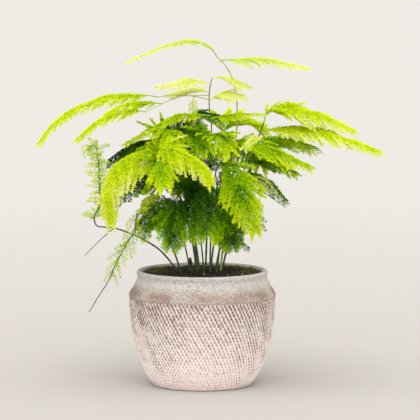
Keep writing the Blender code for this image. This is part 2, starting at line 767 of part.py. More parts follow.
def make_soil(material, cane_tubes):
    points = []
    faces = []
    rings = list(SOIL_SIDE_OUTLINE) + [(radius, None) for radius in SOIL_TOP_RADII]
    for ring, (radius, height) in enumerate(rings):
        for side in range(SOIL_SIDES):
            angle = math.tau * (side + 0.5 * (ring % 2) * (height is None)) / SOIL_SIDES
            x = radius * math.cos(angle)
            y = radius * math.sin(angle)
            z = soil_height(x, y) if height is None else height
            points.append(Vector((x, y, z)))
    for ring in range(len(rings) - 1):
        for side in range(SOIL_SIDES):
            a = ring * SOIL_SIDES + side
            b = ring * SOIL_SIDES + (side + 1) % SOIL_SIDES
            faces += [(a, b, b + SOIL_SIDES), (a, b + SOIL_SIDES, a + SOIL_SIDES)]
    faces.append(tuple(reversed(range(SOIL_SIDES))))
    centre = len(points)
    points.append(Vector((0, 0, soil_height(0, 0))))
    last = (len(rings) - 1) * SOIL_SIDES
    for side in range(SOIL_SIDES):
        faces.append((last + side, last + (side + 1) % SOIL_SIDES, centre))
    soil = make_object("soil", points, faces, material)
    cutters = []
    for path, radius, sides in cane_tubes:
        foot = [path[0] - (path[1] - path[0]).normalized() * CLEARANCE]
        for point in path:
            foot.append(point)
            if point.z > HOLE_TOP_HEIGHT:
                break
        wide = radius + SAFE_CLEARANCE
        cutters.append(make_object("hole", *tube(foot, wide, wide, sides), material))
    fuse(soil, cutters, "DIFFERENCE")
    return soil


def cane_path(points):
    rough = smooth_path(points, ROUGH_STEPS)
    length = sum((b - a).length for a, b in zip(rough, rough[1:]))
    return smooth_path(points, int(length / CANE_STRIDE) + 2)


def cane_branches(name):
    # The cane itself and its bare forks, each with its axis and its solid
    points, foot_radius, tip_radius = CANES[name]
    path = cane_path(points)
    branches = [(path, tube(path, foot_radius, tip_radius, CANE_SIDES))]
    for fork_points, fork_start, fork_end in FORKS.get(name, ()):
        fork = smooth_path(fork_points, FORK_RINGS)
        branches.append((fork, tube(fork, fork_start, fork_end, FORK_SIDES)))
    return branches


def stalk_path(points, branches):
    # The stalk of a frond, cut back to stand just clear of the branch that carries it
    first = Vector(points[0])
    best = None
    for axis, body in branches:
        spot = nearest_on_axis(axis, first)
        if best is None or (spot - first).length < (best[0] - first).length:
            best = (spot, body)
    fine = smooth_path([best[0]] + [Vector(point) for point in points[1:]], FINE_STEPS)
    start = start_outside(fine, BVHTree.FromPolygons(*best[1]), STALK_RADIUS)
    clear = fine[start:]
    length = sum((b - a).length for a, b in zip(clear, clear[1:]))
    count = max(LEAST_STALK_RINGS, int(length / STALK_STRIDE) + 2)
    return [clear[round(step * (len(clear) - 1) / (count - 1))] for step in range(count)]


def leafy_sprigs(name, order, path, obstacles):
    # Short sprigs set in a spiral round the outer length of a cane
    first, last, number, longest = LEAFY_CANES[name]
    sprigs = []
    for index in range(number):
        share = first + (last - first) * (index + 0.5) / number
        root, along = point_on(path, share)
        turn = math.radians(SPIRAL_STEP * index + SPRIG_TURN_SPREAD * wobble(order, index, 4))
        side = along.cross(Vector(SPRIG_UP)).normalized()
        above = side.cross(along).normalized()
        outward = side * math.cos(turn) + above * math.sin(turn)
        length = longest * (SPRIG_LENGTHS[0] + SPRIG_LENGTHS[1] * wobble(order, index, 5))
        placed = place_pinna(name, obstacles, root, along, outward, along.cross(outward), 1,
                             length, order * 50 + index, SPRIG_OPENING, 0, SPRIG_HANG, SPRIG_SAG)
        if placed:
            obstacles.add(name, *placed)
            sprigs.append(placed)
    return sprigs


def frond_pinnae(name, order, path, obstacles):
    # Pairs of pinnae along the stalk, longest near its foot
    carrier, points, longest, pairs, face, droop, hang, colour = FRONDS[name]
    pinnae = []
    for pair in range(pairs):
        for hand in (-1, 1):
            offset = HAND_OFFSETS[hand > 0] + STEP_SPREAD * wobble(order, pair, hand)
            step = (pair + offset) / pairs
            share = BARE_SHARE + (TIP_PINNA_SHARE - BARE_SHARE) * step
            root, along = point_on(path, share)
            side = along.cross(Vector(face)).normalized()
            above = side.cross(along).normalized()
            length = longest * pinna_length_share(step)
            length *= 1.0 + LENGTH_SPREAD * wobble(order, pair, hand, 6)
            opening = OPENING_AT_FOOT + (OPENING_AT_TIP - OPENING_AT_FOOT) * step
            down = droop + DROOP_SPREAD * wobble(order, pair, hand, 7)
            placed = place_pinna(name, obstacles, root, along, side, above, hand, length,
                                 order * 100 + pair * 2 + (hand > 0), opening, down, hang, SAG)
            if placed:
                obstacles.add(name, *placed)
                pinnae.append(placed)
    return pinnae


def build():
    for item in list(bpy.data.objects):
        bpy.data.objects.remove(item)
    materials = {
        name: make_material(name, colour, roughness) for name, (colour, roughness) in MATERIALS.items()
    }
    pot = make_pot(materials["pot_stone"])
    round_shading(pot, POT_SHARP_ANGLE)

    obstacles = Obstacles()
    obstacles.add("pot", *body_of(pot))
    canes = {}
    tubes = []
    for name in CANES:
        canes[name] = cane_branches(name)
        tubes.append((canes[name][0][0], CANES[name][1], CANE_SIDES))
        for axis, body in canes[name]:
            obstacles.add(name, *body)

    stub_points, stub_foot, stub_tip = OLD_STUB
    stub_path = smooth_path(stub_points, STUB_RINGS)
    stub_body = tube(stub_path, stub_foot, stub_tip, STUB_SIDES)
    obstacles.add("old_stub", *stub_body)
    tubes.append((stub_path, stub_foot, STUB_SIDES))
    stub = make_object("old_stub", *stub_body, materials["dead_wood"])
    round_shading(stub)
    soil = make_soil(materials["soil_dark"], tubes)
    round_shading(soil)
    obstacles.add("soil", *body_of(soil))

    stalks = {}
    for name, spec in FRONDS.items():
        stalks[name] = stalk_path(spec[1], canes[spec[0]])
        obstacles.add(name, *tube(stalks[name], STALK_RADIUS, STALK_TIP_RADIUS, RACHIS_SIDES))

    sprigs = {}
    for order, name in enumerate(LEAFY_CANES):
        sprigs[name] = leafy_sprigs(name, order, canes[name][0][0], obstacles)
    for name in CANES:
        bodies = [body for axis, body in canes[name]]
        cane = make_object(name, *bodies[0], materials["cane_green"])
        parts = bodies[1:] + sprigs.get(name, [])
        fuse(cane, [make_object("branch", *body, materials["cane_green"]) for body in parts])
        keep_largest_body(cane)
        round_shading(cane)

    for order, (name, spec) in enumerate(FRONDS.items()):
        leaf = materials[spec[-1]]
        stalk = tube(stalks[name], STALK_RADIUS, STALK_TIP_RADIUS, RACHIS_SIDES)
        frond = make_object(name, *stalk, leaf)
        parts = frond_pinnae(name, order, stalks[name], obstacles)
        fuse(frond, [make_object("pinna", *body, leaf) for body in parts])
        keep_largest_body(frond)
        round_shading(frond, LEAF_SHARP_ANGLE)


build()
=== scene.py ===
import math

import bpy
import numpy as np
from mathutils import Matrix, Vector


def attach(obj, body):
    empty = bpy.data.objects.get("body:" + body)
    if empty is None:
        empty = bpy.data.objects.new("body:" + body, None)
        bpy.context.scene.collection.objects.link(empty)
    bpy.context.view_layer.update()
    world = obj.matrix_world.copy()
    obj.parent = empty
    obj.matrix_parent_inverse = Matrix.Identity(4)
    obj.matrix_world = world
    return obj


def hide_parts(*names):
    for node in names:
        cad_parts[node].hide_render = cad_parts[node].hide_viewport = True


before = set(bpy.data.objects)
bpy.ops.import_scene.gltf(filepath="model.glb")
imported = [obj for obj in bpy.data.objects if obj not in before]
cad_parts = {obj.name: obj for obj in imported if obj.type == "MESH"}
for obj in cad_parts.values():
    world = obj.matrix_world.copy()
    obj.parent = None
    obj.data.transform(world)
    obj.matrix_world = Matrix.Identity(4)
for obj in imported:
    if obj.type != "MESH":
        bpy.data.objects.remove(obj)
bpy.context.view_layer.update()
print("frame loaded:", len(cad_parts), "nodes")

mm = 0.001
up = (0.0, -0.3, 1.0)
front = (0.0, -1.0, 0.3)


def wobble(*keys):
    # a number from -1 to 1 that is always the same for the same keys
    total = 0.0
    for place, key in enumerate(keys):
        total += (key + 1.7) * (12.9898 + 21.377 * place)
    value = math.sin(total) * 43758.5453
    return 2.0 * (value - math.floor(value)) - 1.0


def smoothPath(points, count):
    # even steps along a curve through the points, in mm
    given = [Vector(point) for point in points]
    ends = [given[0] * 2 - given[1]] + given + [given[-1] * 2 - given[-2]]
    dense = []
    for index in range(1, len(ends) - 2):
        before, start, end, after = ends[index - 1:index + 3]
        for step in range(16):
            t = step / 16
            curve = start * 2 + (end - before) * t
            curve += (before * 2 - start * 5 + end * 4 - after) * t * t
            curve += (start * 3 - before - end * 3 + after) * t * t * t
            dense.append(curve * 0.5)
    dense.append(given[-1])
    dense = np.array([tuple(point) for point in dense])
    lengths = np.concatenate([[0.0], np.cumsum(np.linalg.norm(np.diff(dense, axis=0), axis=1))])
    wanted = np.linspace(0.0, lengths[-1], count)
    return np.stack([np.interp(wanted, lengths, dense[:, axis]) for axis in range(3)], axis=1)


def pathLength(path):
    return float(np.linalg.norm(np.diff(path, axis=0), axis=1).sum())


def between(start, end, share):
    return start + (end - start) * share


def unit(vector):
    vector = np.asarray(vector, float)
    size = np.linalg.norm(vector, axis=-1, keepdims=True)
    return vector / np.maximum(size, 1e-9)


def stand(name, data):
    made = bpy.data.objects.new(name, data)
    bpy.context.scene.collection.objects.link(made)
    return made


class Bag:
    # gathers points and triangles of one piece, in mm
    def __init__(self):
        self.points = []
        self.faces = []
        self.tones = []
        self.kinds = []
        self.kind = 0          # index of the material for what is added next
        self.count = 0

    def add(self, points, faces, tones):
        points = np.asarray(points, float).reshape(-1, 3)
        faces = np.asarray(faces, np.int64).reshape(-1, 3)
        self.points.append(points)
        self.faces.append(faces + self.count)
        self.tones.append(np.broadcast_to(np.asarray(tones, float), (len(points),)).copy())
        self.kinds.append(np.full(len(faces), self.kind, np.int32))
        self.count += len(points)

    def build(self, name, materials, smooth=False):
        points = np.concatenate(self.points) * mm
        faces = np.concatenate(self.faces)
        mesh = bpy.data.meshes.new(name)
        mesh.vertices.add(len(points))
        mesh.vertices.foreach_set("co", points.ravel().astype(np.float32))
        mesh.loops.add(len(faces) * 3)
        mesh.loops.foreach_set("vertex_index", faces.ravel().astype(np.int32))
        mesh.polygons.add(len(faces))
        mesh.polygons.foreach_set("loop_start", np.arange(0, len(faces) * 3, 3, dtype=np.int32))
        mesh.polygons.foreach_set("loop_total", np.full(len(faces), 3, np.int32))
        mesh.polygons.foreach_set("material_index", np.concatenate(self.kinds))
        mesh.polygons.foreach_set("use_smooth", np.full(len(faces), smooth, bool))
        mesh.update(calc_edges=True)
        tone = mesh.attributes.new("tone", "FLOAT", "POINT")
        tone.data.foreach_set("value", np.concatenate(self.tones).astype(np.float32))
        for material in materials:
            mesh.materials.append(material)
        return stand(name, mesh)


def ringFaces(rings, sides):
    # two triangles for each step round, between one ring of points and the next
    start = np.arange(rings - 1)[:, None] * sides
    side = np.arange(sides)
    a = start + side
    b = start + (side + 1) % sides
    return np.stack([a, b, b + sides, a, b + sides, a + sides], axis=2).reshape(-1, 3)


def fan(first, second, centre):
    # triangles from one point to pairs of points on a ring
    return np.stack([first, second, np.full(len(first), centre)], axis=1)


def circle(angle, radius, height):
    return np.stack([radius * np.cos(angle), radius * np.sin(angle), height + 0.0 * angle], axis=1)


def tube(bag, path, radii, sides, tones, closed=True):
    # a swept round with one radius and tone for each point of the path
    path = np.asarray(path, float)
    tangents = unit(np.gradient(path, axis=0))
    reference = np.array([1.0, 0.0, 0.0])
    if abs(tangents[0][0]) > 0.8:
        reference = np.array([0.0, 1.0, 0.0])
    rings = []
    angles = np.arange(sides) * math.tau / sides
    for index, centre in enumerate(path):
        across = reference - tangents[index] * reference.dot(tangents[index])
        across = across / max(np.linalg.norm(across), 1e-9)
        reference = across
        other = np.cross(tangents[index], across)
        ring = np.outer(np.cos(angles), across) + np.outer(np.sin(angles), other)
        rings.append(centre + ring * radii[index])
    faces = [ringFaces(len(path), sides)]
    if closed:
        last = (len(path) - 1) * sides
        for side in range(1, sides - 1):
            faces.append([(0, side + 1, side), (last, last + side, last + side + 1)])
    bag.add(np.concatenate(rings), np.concatenate(faces), np.repeat(tones, sides))


def blades(bag, base, direction, length, width, toneBase, toneTip, roll, foot, sides):
    # many needles at once: foot holds the corners round the base, sides the triangles up to the tip
    count = len(base)
    across = unit(np.cross(direction, roll))
    other = np.cross(direction, across)
    width = np.broadcast_to(width, (count,))[:, None]
    corners = [base + width * (across * first + other * second) for first, second in foot]
    corners.append(base + direction * np.broadcast_to(length, (count,))[:, None])
    faces = np.arange(count)[:, None, None] * len(corners) + np.array(sides)
    tones = np.empty((count, len(corners)))
    tones[:] = np.broadcast_to(toneBase, (count,))[:, None]
    tones[:, -1] = np.broadcast_to(toneTip, (count,))
    bag.add(np.stack(corners, axis=1), faces, tones.ravel())


def spikes(bag, *shape):
    foot = ((1, 0), (-0.5, 0.866), (-0.5, -0.866))
    blades(bag, *shape, (0.31, 0.22, 1.0), foot, ((0, 1, 3), (1, 2, 3), (2, 0, 3)))


def needlesFlat(bag, rng, base, *shape):
    # each one triangle, rolled at random
    blades(bag, base, *shape, rng.normal(0, 1, (len(base), 3)), ((1, 0), (-1, 0)), ((0, 1, 2),))


def dress(piece, node):
    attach(piece, "root")
    if node:
        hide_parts(node)


def newMaterial(name):
    material = bpy.data.materials.new(name)
    material.use_nodes = True
    tree = material.node_tree
    return material, tree, tree.nodes["Principled BSDF"]


def feed(tree, socket, value):
    # a number, vector or colour is set, an output of another node is linked
    if isinstance(value, tuple):
        socket.default_value = value + (1.0,) * (len(socket.default_value) - len(value))
    elif isinstance(value, (int, float)):
        socket.default_value = value
    else:
        tree.links.new(value, socket)


def place(tree, kind, inputs=None, **settings):
    node = tree.nodes.new(kind)
    for key, value in settings.items():
        setattr(node, key, value)
    for key, value in (inputs or {}).items():
        feed(tree, node.inputs[key], value)
    return node


def ramp(tree, factor, stops):
    node = place(tree, "ShaderNodeValToRGB", {"Fac": factor})
    band = node.color_ramp
    while len(band.elements) < len(stops):
        band.elements.new(0.5)
    for element, (position, colour) in zip(band.elements, stops):
        element.position = position
        element.color = (*colour, 1.0)
    return node.outputs["Color"]


def noiseOf(tree, scale, detail=3.0, roughness=0.55, stretch=None):
    source = place(tree, "ShaderNodeTexCoord").outputs["Object"]
    if stretch:
        source = place(tree, "ShaderNodeMapping", {"Vector": source, "Scale": stretch}).outputs["Vector"]
    values = {"Vector": source, "Scale": scale, "Detail": detail, "Roughness": roughness}
    return place(tree, "ShaderNodeTexNoise", values).outputs["Fac"]


def maths(tree, operation, *values, clamp=False):
    node = place(tree, "ShaderNodeMath", dict(enumerate(values)), operation=operation, use_clamp=clamp)
    return node.outputs[0]


def shifted(tree, value, scale, offset, clamp=False):
    return maths(tree, "MULTIPLY_ADD", value, scale, offset, clamp=clamp)


def swing(tree, noise, amount, middle=0.0):
    return shifted(tree, noise, amount, middle - amount / 2)


def product(tree, first, *others):
    for other in others:
        first = maths(tree, "MULTIPLY", first, other)
    return first


def mixColour(tree, factor, first, second, mode="MIX"):
    values = {0: factor, 6: first, 7: second}
    return place(tree, "ShaderNodeMix", values, data_type="RGBA", blend_type=mode).outputs[2]


def attributeOf(tree, name):
    return place(tree, "ShaderNodeAttribute", attribute_name=name).outputs["Fac"]


def paint(tree, shader, colour, roughness, specular=0.5):
    feed(tree, shader.inputs["Base Color"], colour)
    feed(tree, shader.inputs["Roughness"], roughness)
    feed(tree, shader.inputs["Specular IOR Level"], specular)


def bump(tree, shader, height, strength, distance):
    node = place(tree, "ShaderNodeBump", {"Strength": strength, "Distance": distance, "Height": height})
    feed(tree, shader.inputs["Normal"], node.outputs["Normal"])


def grainMaterial(look):
    # one noise through a ramp of colours, where asked for multiplied by the tone of each point
    material, tree, shader = newMaterial(look["name"])
    value = noiseOf(tree, *look["noise"])
    if look.get("toned"):
        value = maths(tree, "MULTIPLY", value, attributeOf(tree, "tone"))
    paint(tree, shader, ramp(tree, value, look["colours"]), look["roughness"])
    if "relief" in look:
        noise, strength, distance = look["relief"]
        bump(tree, shader, noiseOf(tree, *noise), strength, distance)
    return material


potShape = {               # pairs are a radius and a height, in mm
    "sides": 588,
    "foot": ((46.0, 0.0), (48.5, 0.1), (50.6, 0.8), (51.6, 2.2)),
    "belly": ((51.8, 2.6), (55.0, 7.0), (58.6, 13.0), (62.4, 21.0), (66.6, 33.0), (70.2, 47.0),
              (72.4, 59.0), (73.8, 71.0), (74.6, 82.0), (74.8, 91.0)),
    "collar": ((75.2, 91.5), (75.6, 92.6), (75.4, 94.2), (74.3, 96.4), (72.7, 98.8), (71.0, 101.4),
               (69.4, 104.4), (67.9, 107.4), (66.8, 110.0), (66.5, 112.0), (66.8, 113.8),
               (67.3, 115.3), (67.3, 116.6), (66.6, 117.7), (65.2, 118.4), (63.8, 118.3),
               (62.5, 117.6), (61.7, 116.4), (61.4, 114.4), (61.6, 110.0), (62.2, 104.0), (63.0, 96.0)),
    "inside": ((62.4, 70.0), (61.0, 50.0), (46.0, 9.0)),
    "floor": 9.0,
    "bellyRows": 112,
    "around": 110,         # ridges round the belly, in each of the two nets
    "winding": (0.128, -0.174),   # ridges crossed for each mm of height
    "deep": 1.3,
    "level": 0.65,         # share of that depth that lies below the plain belly
    "fade": (3.0, 1.0),    # height over which the ridges rise at the foot and end at the collar
    "waver": 0.12,         # how much a ridge wanders, in ridges
    "uneven": 0.3,
    "sharp": 55.0,         # edges steeper than this stay sharp, in degrees
}

potLook = {
    "noises": {"waver": (45.0, 2.0), "wear": (30.0, 4.0), "speck": (750.0, 3.0),
               "mottle": (260.0, 2.0, 0.7), "cloud": (9.0, 2.0)},
    "bandAt": 0.0975,      # middle of the tan band, in m
    "collarFrom": 0.0914,
    "upper": ((0.00, (0.90, 0.77, 0.73)), (0.20, (0.76, 0.63, 0.585)), (0.48, (0.44, 0.35, 0.315)),
              (0.75, (0.26, 0.20, 0.175)), (1.00, (0.16, 0.12, 0.10))),
    "netherBounceLit": ((0.00, (1.0, 0.94, 0.93)), (0.30, (0.97, 0.86, 0.84)), (0.58, (0.56, 0.45, 0.41)),
               (1.00, (0.22, 0.17, 0.14))),
    "clay": (1.0, 0.86, 0.82),
    "collar": (0.68, 0.655, 0.635),
    "band": (0.40, 0.30, 0.24),
    "clouds": ((0.35, (0.84, 0.84, 0.85)), (0.65, (1.08, 1.06, 1.04))),
    "pores": ((0.34, (0.42, 0.40, 0.38)), (0.47, (1.0, 1.0, 1.0)), (0.64, (1.28, 1.28, 1.28))),
    "roughness": 0.92,
    "specular": 0.2,
}


def knurlCuts(tree, across, high):
    # the same two families of slanting grooves as in the mesh, kept crisp for the colour
    cuts = []
    for slant in potShape["winding"]:
        drift = maths(tree, "MULTIPLY", high, slant / mm)
        part = maths(tree, "FRACT", maths(tree, "ADD", across, drift))
        cuts.append(maths(tree, "ABSOLUTE", shifted(tree, part, 2.0, -1.0)))
    return cuts


def potMaterial():
    # the pairs in shifted() and product() are gains and offsets, set against the photo
    look = potLook
    material, tree, shader = newMaterial("pot_whitewash")
    coordinates = place(tree, "ShaderNodeTexCoord")
    split = place(tree, "ShaderNodeSeparateXYZ", {0: coordinates.outputs["Object"]})
    high = split.outputs["Z"]
    noises = {name: noiseOf(tree, *noise) for name, noise in look["noises"].items()}
    wear = noises["wear"]
    turn = maths(tree, "ARCTAN2", split.outputs["Y"], split.outputs["X"])
    across = maths(tree, "MULTIPLY", turn, potShape["around"] / math.tau)
    across = maths(tree, "ADD", across, swing(tree, noises["waver"], 0.5))
    first, second = knurlCuts(tree, across, high)
    # thin broken strokes of painted shade in the grooves of one family, darkest where the other family
    # crosses,
    # and darker on the two flanks: painted shade, where the light falls off to the sides
    stroke = shifted(tree, first, -2.5, 1.3, clamp=True)
    crossing = shifted(tree, second, -1.9, 1.25, clamp=True)
    patchy = shifted(tree, wear, 3.2, -1.15, clamp=True)
    shadedFlank = maths(tree, "ABSOLUTE", split.outputs["X"])
    dark = product(tree, stroke, shifted(tree, crossing, 0.72, 0.36), shifted(tree, high, 4.5, 0.7),
                   shifted(tree, patchy, 0.3, 0.75), shifted(tree, shadedFlank, 14.0, 0.80))
    # painted shade in the grooves of the other family, on the flanks alone
    other = product(tree, shifted(tree, second, -2.4, 1.1, clamp=True),
                    shifted(tree, shadedFlank, 20.0, -0.70, clamp=True), shifted(tree, high, 7.0, 0.25))
    dark = maths(tree, "MAXIMUM", dark, other)
    dots = shifted(tree, noises["speck"], -9.0, 3.6, clamp=True)
    dark = maths(tree, "ADD", dark, shifted(tree, dots, 0.8, 0.0))
    dark = maths(tree, "ADD", dark, swing(tree, noises["mottle"], 1.6))
    # less dark low on the belly, with the paler nether ramp at the foot: painted light from the floor's
    # bounce
    dark = maths(tree, "ADD", dark, shifted(tree, high, 2.4, -0.12), clamp=True)
    rising = shifted(tree, high, 13.0, -0.15, clamp=True)
    wash = mixColour(tree, rising, ramp(tree, dark, look["netherBounceLit"]), ramp(tree, dark, look["upper"]))
    # the foot is pinker, where the clay shows through
    lower = maths(tree, "MULTIPLY", shifted(tree, high, -17.0, 1.05), noises["cloud"], clamp=True)
    belly = mixColour(tree, maths(tree, "MULTIPLY", lower, 0.6), wash, look["clay"], "MULTIPLY")
    # collar: grey lime with a tan band on its lower part, clouds and dark pores
    band = maths(tree, "ABSOLUTE", shifted(tree, high, 1.0, -look["bandAt"]))
    band = shifted(tree, band, -150.0, 1.55)
    band = maths(tree, "MULTIPLY", band, shifted(tree, wear, 2.2, -0.55), clamp=True)
    collar = mixColour(tree, band, look["collar"], look["band"])
    collar = mixColour(tree, 1.0, collar, ramp(tree, noises["cloud"], look["clouds"]), "MULTIPLY")
    collar = mixColour(tree, 0.85, collar, ramp(tree, noises["speck"], look["pores"]), "MULTIPLY")
    isCollar = maths(tree, "GREATER_THAN", high, look["collarFrom"])
    colour = mixColour(tree, isCollar, belly, collar)
    # all of it a little darker towards the rim
    strength = shifted(tree, high, -2.2, 1.03, clamp=True)
    whole = place(tree, "ShaderNodeCombineColor", {0: strength, 1: strength, 2: strength})
    colour = mixColour(tree, 1.0, colour, whole.outputs[0], "MULTIPLY")
    paint(tree, shader, colour, look["roughness"], look["specular"])
    bump(tree, shader, noises["speck"], 0.4, 0.0005)
    return material


def knurl(turn, height, heights):
    # how far the belly stands out at each step round, in mm; waves of unequal length show no pattern
    shape = potShape
    waver = shape["waver"] * np.sin(turn * 0.83 + height * 0.19) * np.cos(turn * 0.31 - height * 0.11)
    uneven = shape["uneven"] * np.sin(turn * 2.3 + height * 0.7) * np.cos(turn * 0.71 - height * 0.31)
    first, second = [np.abs(((turn + waver + height * slant) % 1.0) * 2 - 1) for slant in shape["winding"]]
    lift = np.minimum(first * 2.6 - 0.2, second * 2.0 + 0.2)
    lift = np.clip(lift + uneven, 0, 1)
    low, high = shape["fade"]
    edge = max(0.0, min(1.0, (height - heights[0]) / low, (heights[-1] - height) / high))
    return edge * shape["deep"] * (lift - shape["level"])


def makePot():
    shape = potShape
    sides = shape["sides"]
    radii, heights = zip(*shape["belly"])
    rows = [(radius, height, False) for radius, height in shape["foot"]]
    for height in np.linspace(heights[0], heights[-1], shape["bellyRows"] + 1):
        rows.append((float(np.interp(height, heights, radii)), float(height), True))
    rows += [(radius, height, False) for radius, height in shape["collar"] + shape["inside"]]
    angle = np.arange(sides) * math.tau / sides
    turn = angle / math.tau * shape["around"]
    points = []
    for radius, height, knurled in rows:
        reach = radius + (knurl(turn, height, heights) if knurled else 0.0)
        points.append(circle(angle, reach, height))
    points = np.concatenate(points + [[[0, 0, 0], [0, 0, shape["floor"]]]])
    side = np.arange(sides)
    around = (side + 1) % sides
    bottom = len(rows) * sides
    last = bottom - sides
    under = fan(around, side, bottom)
    inner = fan(last + side, last + around, bottom + 1)
    bag = Bag()
    bag.add(points, np.concatenate([ringFaces(len(rows), sides), under, inner]), 0.5)
    pot = bag.build("pot_fine", [potMaterial()], smooth=True)
    pot.data.set_sharp_from_angle(angle=math.radians(shape["sharp"]))
    dress(pot, "pot")


makePot()
print("pot ready")


soilShape = {
    "edge": 115.0,         # height at the wall, in mm
    "crown": 2.5,          # how much higher the middle is
    "crownSpread": 30.0,
    "radius": 61.1,
    "rings": 60,
    "sides": 150,
    "below": ((45.6, 9.4), (60.5, 50.0)),   # radius and height of the two rings under the edge
    "look": {
        "name": "soil_peat", "noise": (180.0, 5.0, 0.65), "roughness": 0.95,
        "colours": ((0.35, (0.008, 0.006, 0.004)), (0.55, (0.028, 0.018, 0.012)),
                    (0.72, (0.075, 0.05, 0.032))),
        "relief": ((700.0, 3.0, 0.6), 0.8, 0.0012),
    },
}


def soilHeight(x, y):
    radius = np.hypot(x, y)
    rise = soilShape["crown"] * np.exp(-(radius / soilShape["crownSpread"]) ** 2)
    lumps = 0.9 * np.sin(0.23 * x + 1.1) * np.cos(0.19 * y - 0.4)
    lumps = lumps + 0.6 * np.sin(0.51 * x - 0.37 * y)
    return soilShape["edge"] + rise + lumps


def soilTop(x, y):
    # with the fine lumps that the eye takes for crumbs
    small = 0.55 * np.sin(1.9 * x + 0.8 * y) * np.sin(1.3 * y - 0.7 * x + 2.0)
    small = small + 0.35 * np.sin(3.7 * x - 2.9 * y) + 0.3 * np.sin(2.6 * y + 4.4 * x + 1.0)
    return soilHeight(x, y) + small


def makeSoil():
    shape = soilShape
    rings = shape["rings"]
    sides = shape["sides"]
    angle = np.arange(sides) * math.tau / sides
    side = np.arange(sides)
    around = (side + 1) % sides
    bag = Bag()
    points = [circle(angle, shape["radius"] * (1.0 - ring / rings), 0.0) for ring in range(rings)]
    points = np.concatenate(points)
    points[:, 2] = soilTop(points[:, 0], points[:, 1])
    last = (rings - 1) * sides
    middle = fan(last + side, last + around, len(points))
    centre = [[0, 0, float(soilHeight(0.0, 0.0))]]
    bag.add(np.concatenate([points, centre]), np.concatenate([ringFaces(rings, sides), middle]), 0.5)
    # closed below, down to the pot's floor
    skirt = [circle(angle, radius, height) for radius, height in shape["below"]] + [points[:sides]]
    floor = fan(side[2:], side[1:-1], 0)
    bag.add(np.concatenate(skirt), np.concatenate([ringFaces(len(skirt), sides), floor]), 0.5)
    made = bag.build("soil_fine", [grainMaterial(shape["look"])], smooth=True)
    dress(made, "soil")


def lump(bag, centre, size, key):
    # an uneven crumb with twelve faces
    ring = []
    for index in range(6):
        turn = math.tau * index / 6 + 0.4 * wobble(key, index)
        reach = size * (0.85 + 0.3 * wobble(key, index, 1))
        ring.append((reach * math.cos(turn), reach * math.sin(turn), 0.25 * size * wobble(key, index, 2)))
    points = np.array(ring + [(0.1 * size, 0, size * 0.8), (0, 0.1 * size, -size * 0.7)]) + np.array(centre)
    faces = []
    for index in range(6):
        following = (index + 1) % 6
        faces.append((index, following, 6))
        faces.append((following, index, 7))
    bag.add(points, faces, 0.5 + 0.4 * wobble(key, 9))


crumbs = {
    "count": 420,
    "least": 0.5,
    "most": 1.5,
    "within": 58.5,        # mm from the middle of the pot
    "above": 0.2,          # share of its size by which a crumb's middle stands above the soil
    "look": {
        "name": "soil_crumbs", "noise": (300.0, 3.0), "toned": True, "roughness": 0.95,
        "colours": ((0.1, (0.012, 0.008, 0.006)), (0.5, (0.10, 0.065, 0.04))),
    },
}

grit = {
    "spots": ((33.0, -46.0), (10.0, -52.0), (-30.0, -38.0), (41.0, -20.0), (-44.0, 14.0), (22.0, 40.0),
              (-14.0, 46.0), (48.0, 18.0), (26.0, -34.0), (-20.0, -49.0), (2.0, -30.0)),
    "size": 1.1,
    "above": 0.3,
    "look": {
        "name": "grit_white", "noise": (600.0, 2.0), "roughness": 0.9,
        "colours": ((0.3, (0.45, 0.42, 0.36)), (0.7, (0.78, 0.76, 0.70))),
    },
}


def makeCrumbs():
    bag = Bag()
    for index in range(crumbs["count"]):
        turn = math.tau * (0.5 + 0.5 * wobble(index, 21))
        reach = crumbs["within"] * math.sqrt(0.5 + 0.5 * wobble(index, 22))
        x = reach * math.cos(turn)
        y = reach * math.sin(turn)
        size = between(crumbs["least"], crumbs["most"], (0.5 + 0.5 * wobble(index, 23)) ** 2)
        lump(bag, (x, y, float(soilTop(x, y)) + crumbs["above"] * size), size, index)
    dress(bag.build("soil_crumbs", [grainMaterial(crumbs["look"])]), None)


def makeGrit():
    bag = Bag()
    for index, (x, y) in enumerate(grit["spots"]):
        size = grit["size"] * (0.8 + 0.3 * wobble(index, 31))
        lump(bag, (x, y, float(soilTop(x, y)) + grit["above"]), size, index + 700)
    dress(bag.build("grit", [grainMaterial(grit["look"])]), None)


moss = {
    "patches": (((49.0, 12.0), (9.0, 26.0), 1500), ((-46.0, 16.0), (11.0, 24.0), 1300),
                ((30.0, 40.0), (14.0, 8.0), 500)),   # middle, half width and depth, count of blades
    "within": 60.0,
    "height": 2.2,
    "lean": 0.45,
    "seed": 41,
    "look": {
        "name": "moss_green", "noise": (150.0, 3.0), "toned": True, "roughness": 0.9,
        "colours": ((0.1, (0.018, 0.020, 0.008)), (0.35, (0.06, 0.075, 0.015)), (0.6, (0.18, 0.19, 0.04))),
    },
}


def makeMoss():
    rng = np.random.default_rng(moss["seed"])
    bag = Bag()
    for centre, spread, count in moss["patches"]:
        turn = rng.uniform(0, math.tau, count)
        reach = np.sqrt(rng.uniform(0, 1, count))
        x = centre[0] + spread[0] * reach * np.cos(turn)
        y = centre[1] + spread[1] * reach * np.sin(turn)
        inside = np.hypot(x, y) < moss["within"]
        x = x[inside]
        y = y[inside]
        base = np.stack([x, y, soilTop(x, y) - 0.2], axis=1)
        lean = rng.normal(0, moss["lean"], (len(x), 3))
        lean[:, 2] = 1.0
        spikes(bag, base, unit(lean), moss["height"] * rng.uniform(0.5, 1.3, len(x)),
               rng.uniform(0.35, 0.7, len(x)), 0.4, 1.2)
    dress(bag.build("moss", [grainMaterial(moss["look"])]), None)


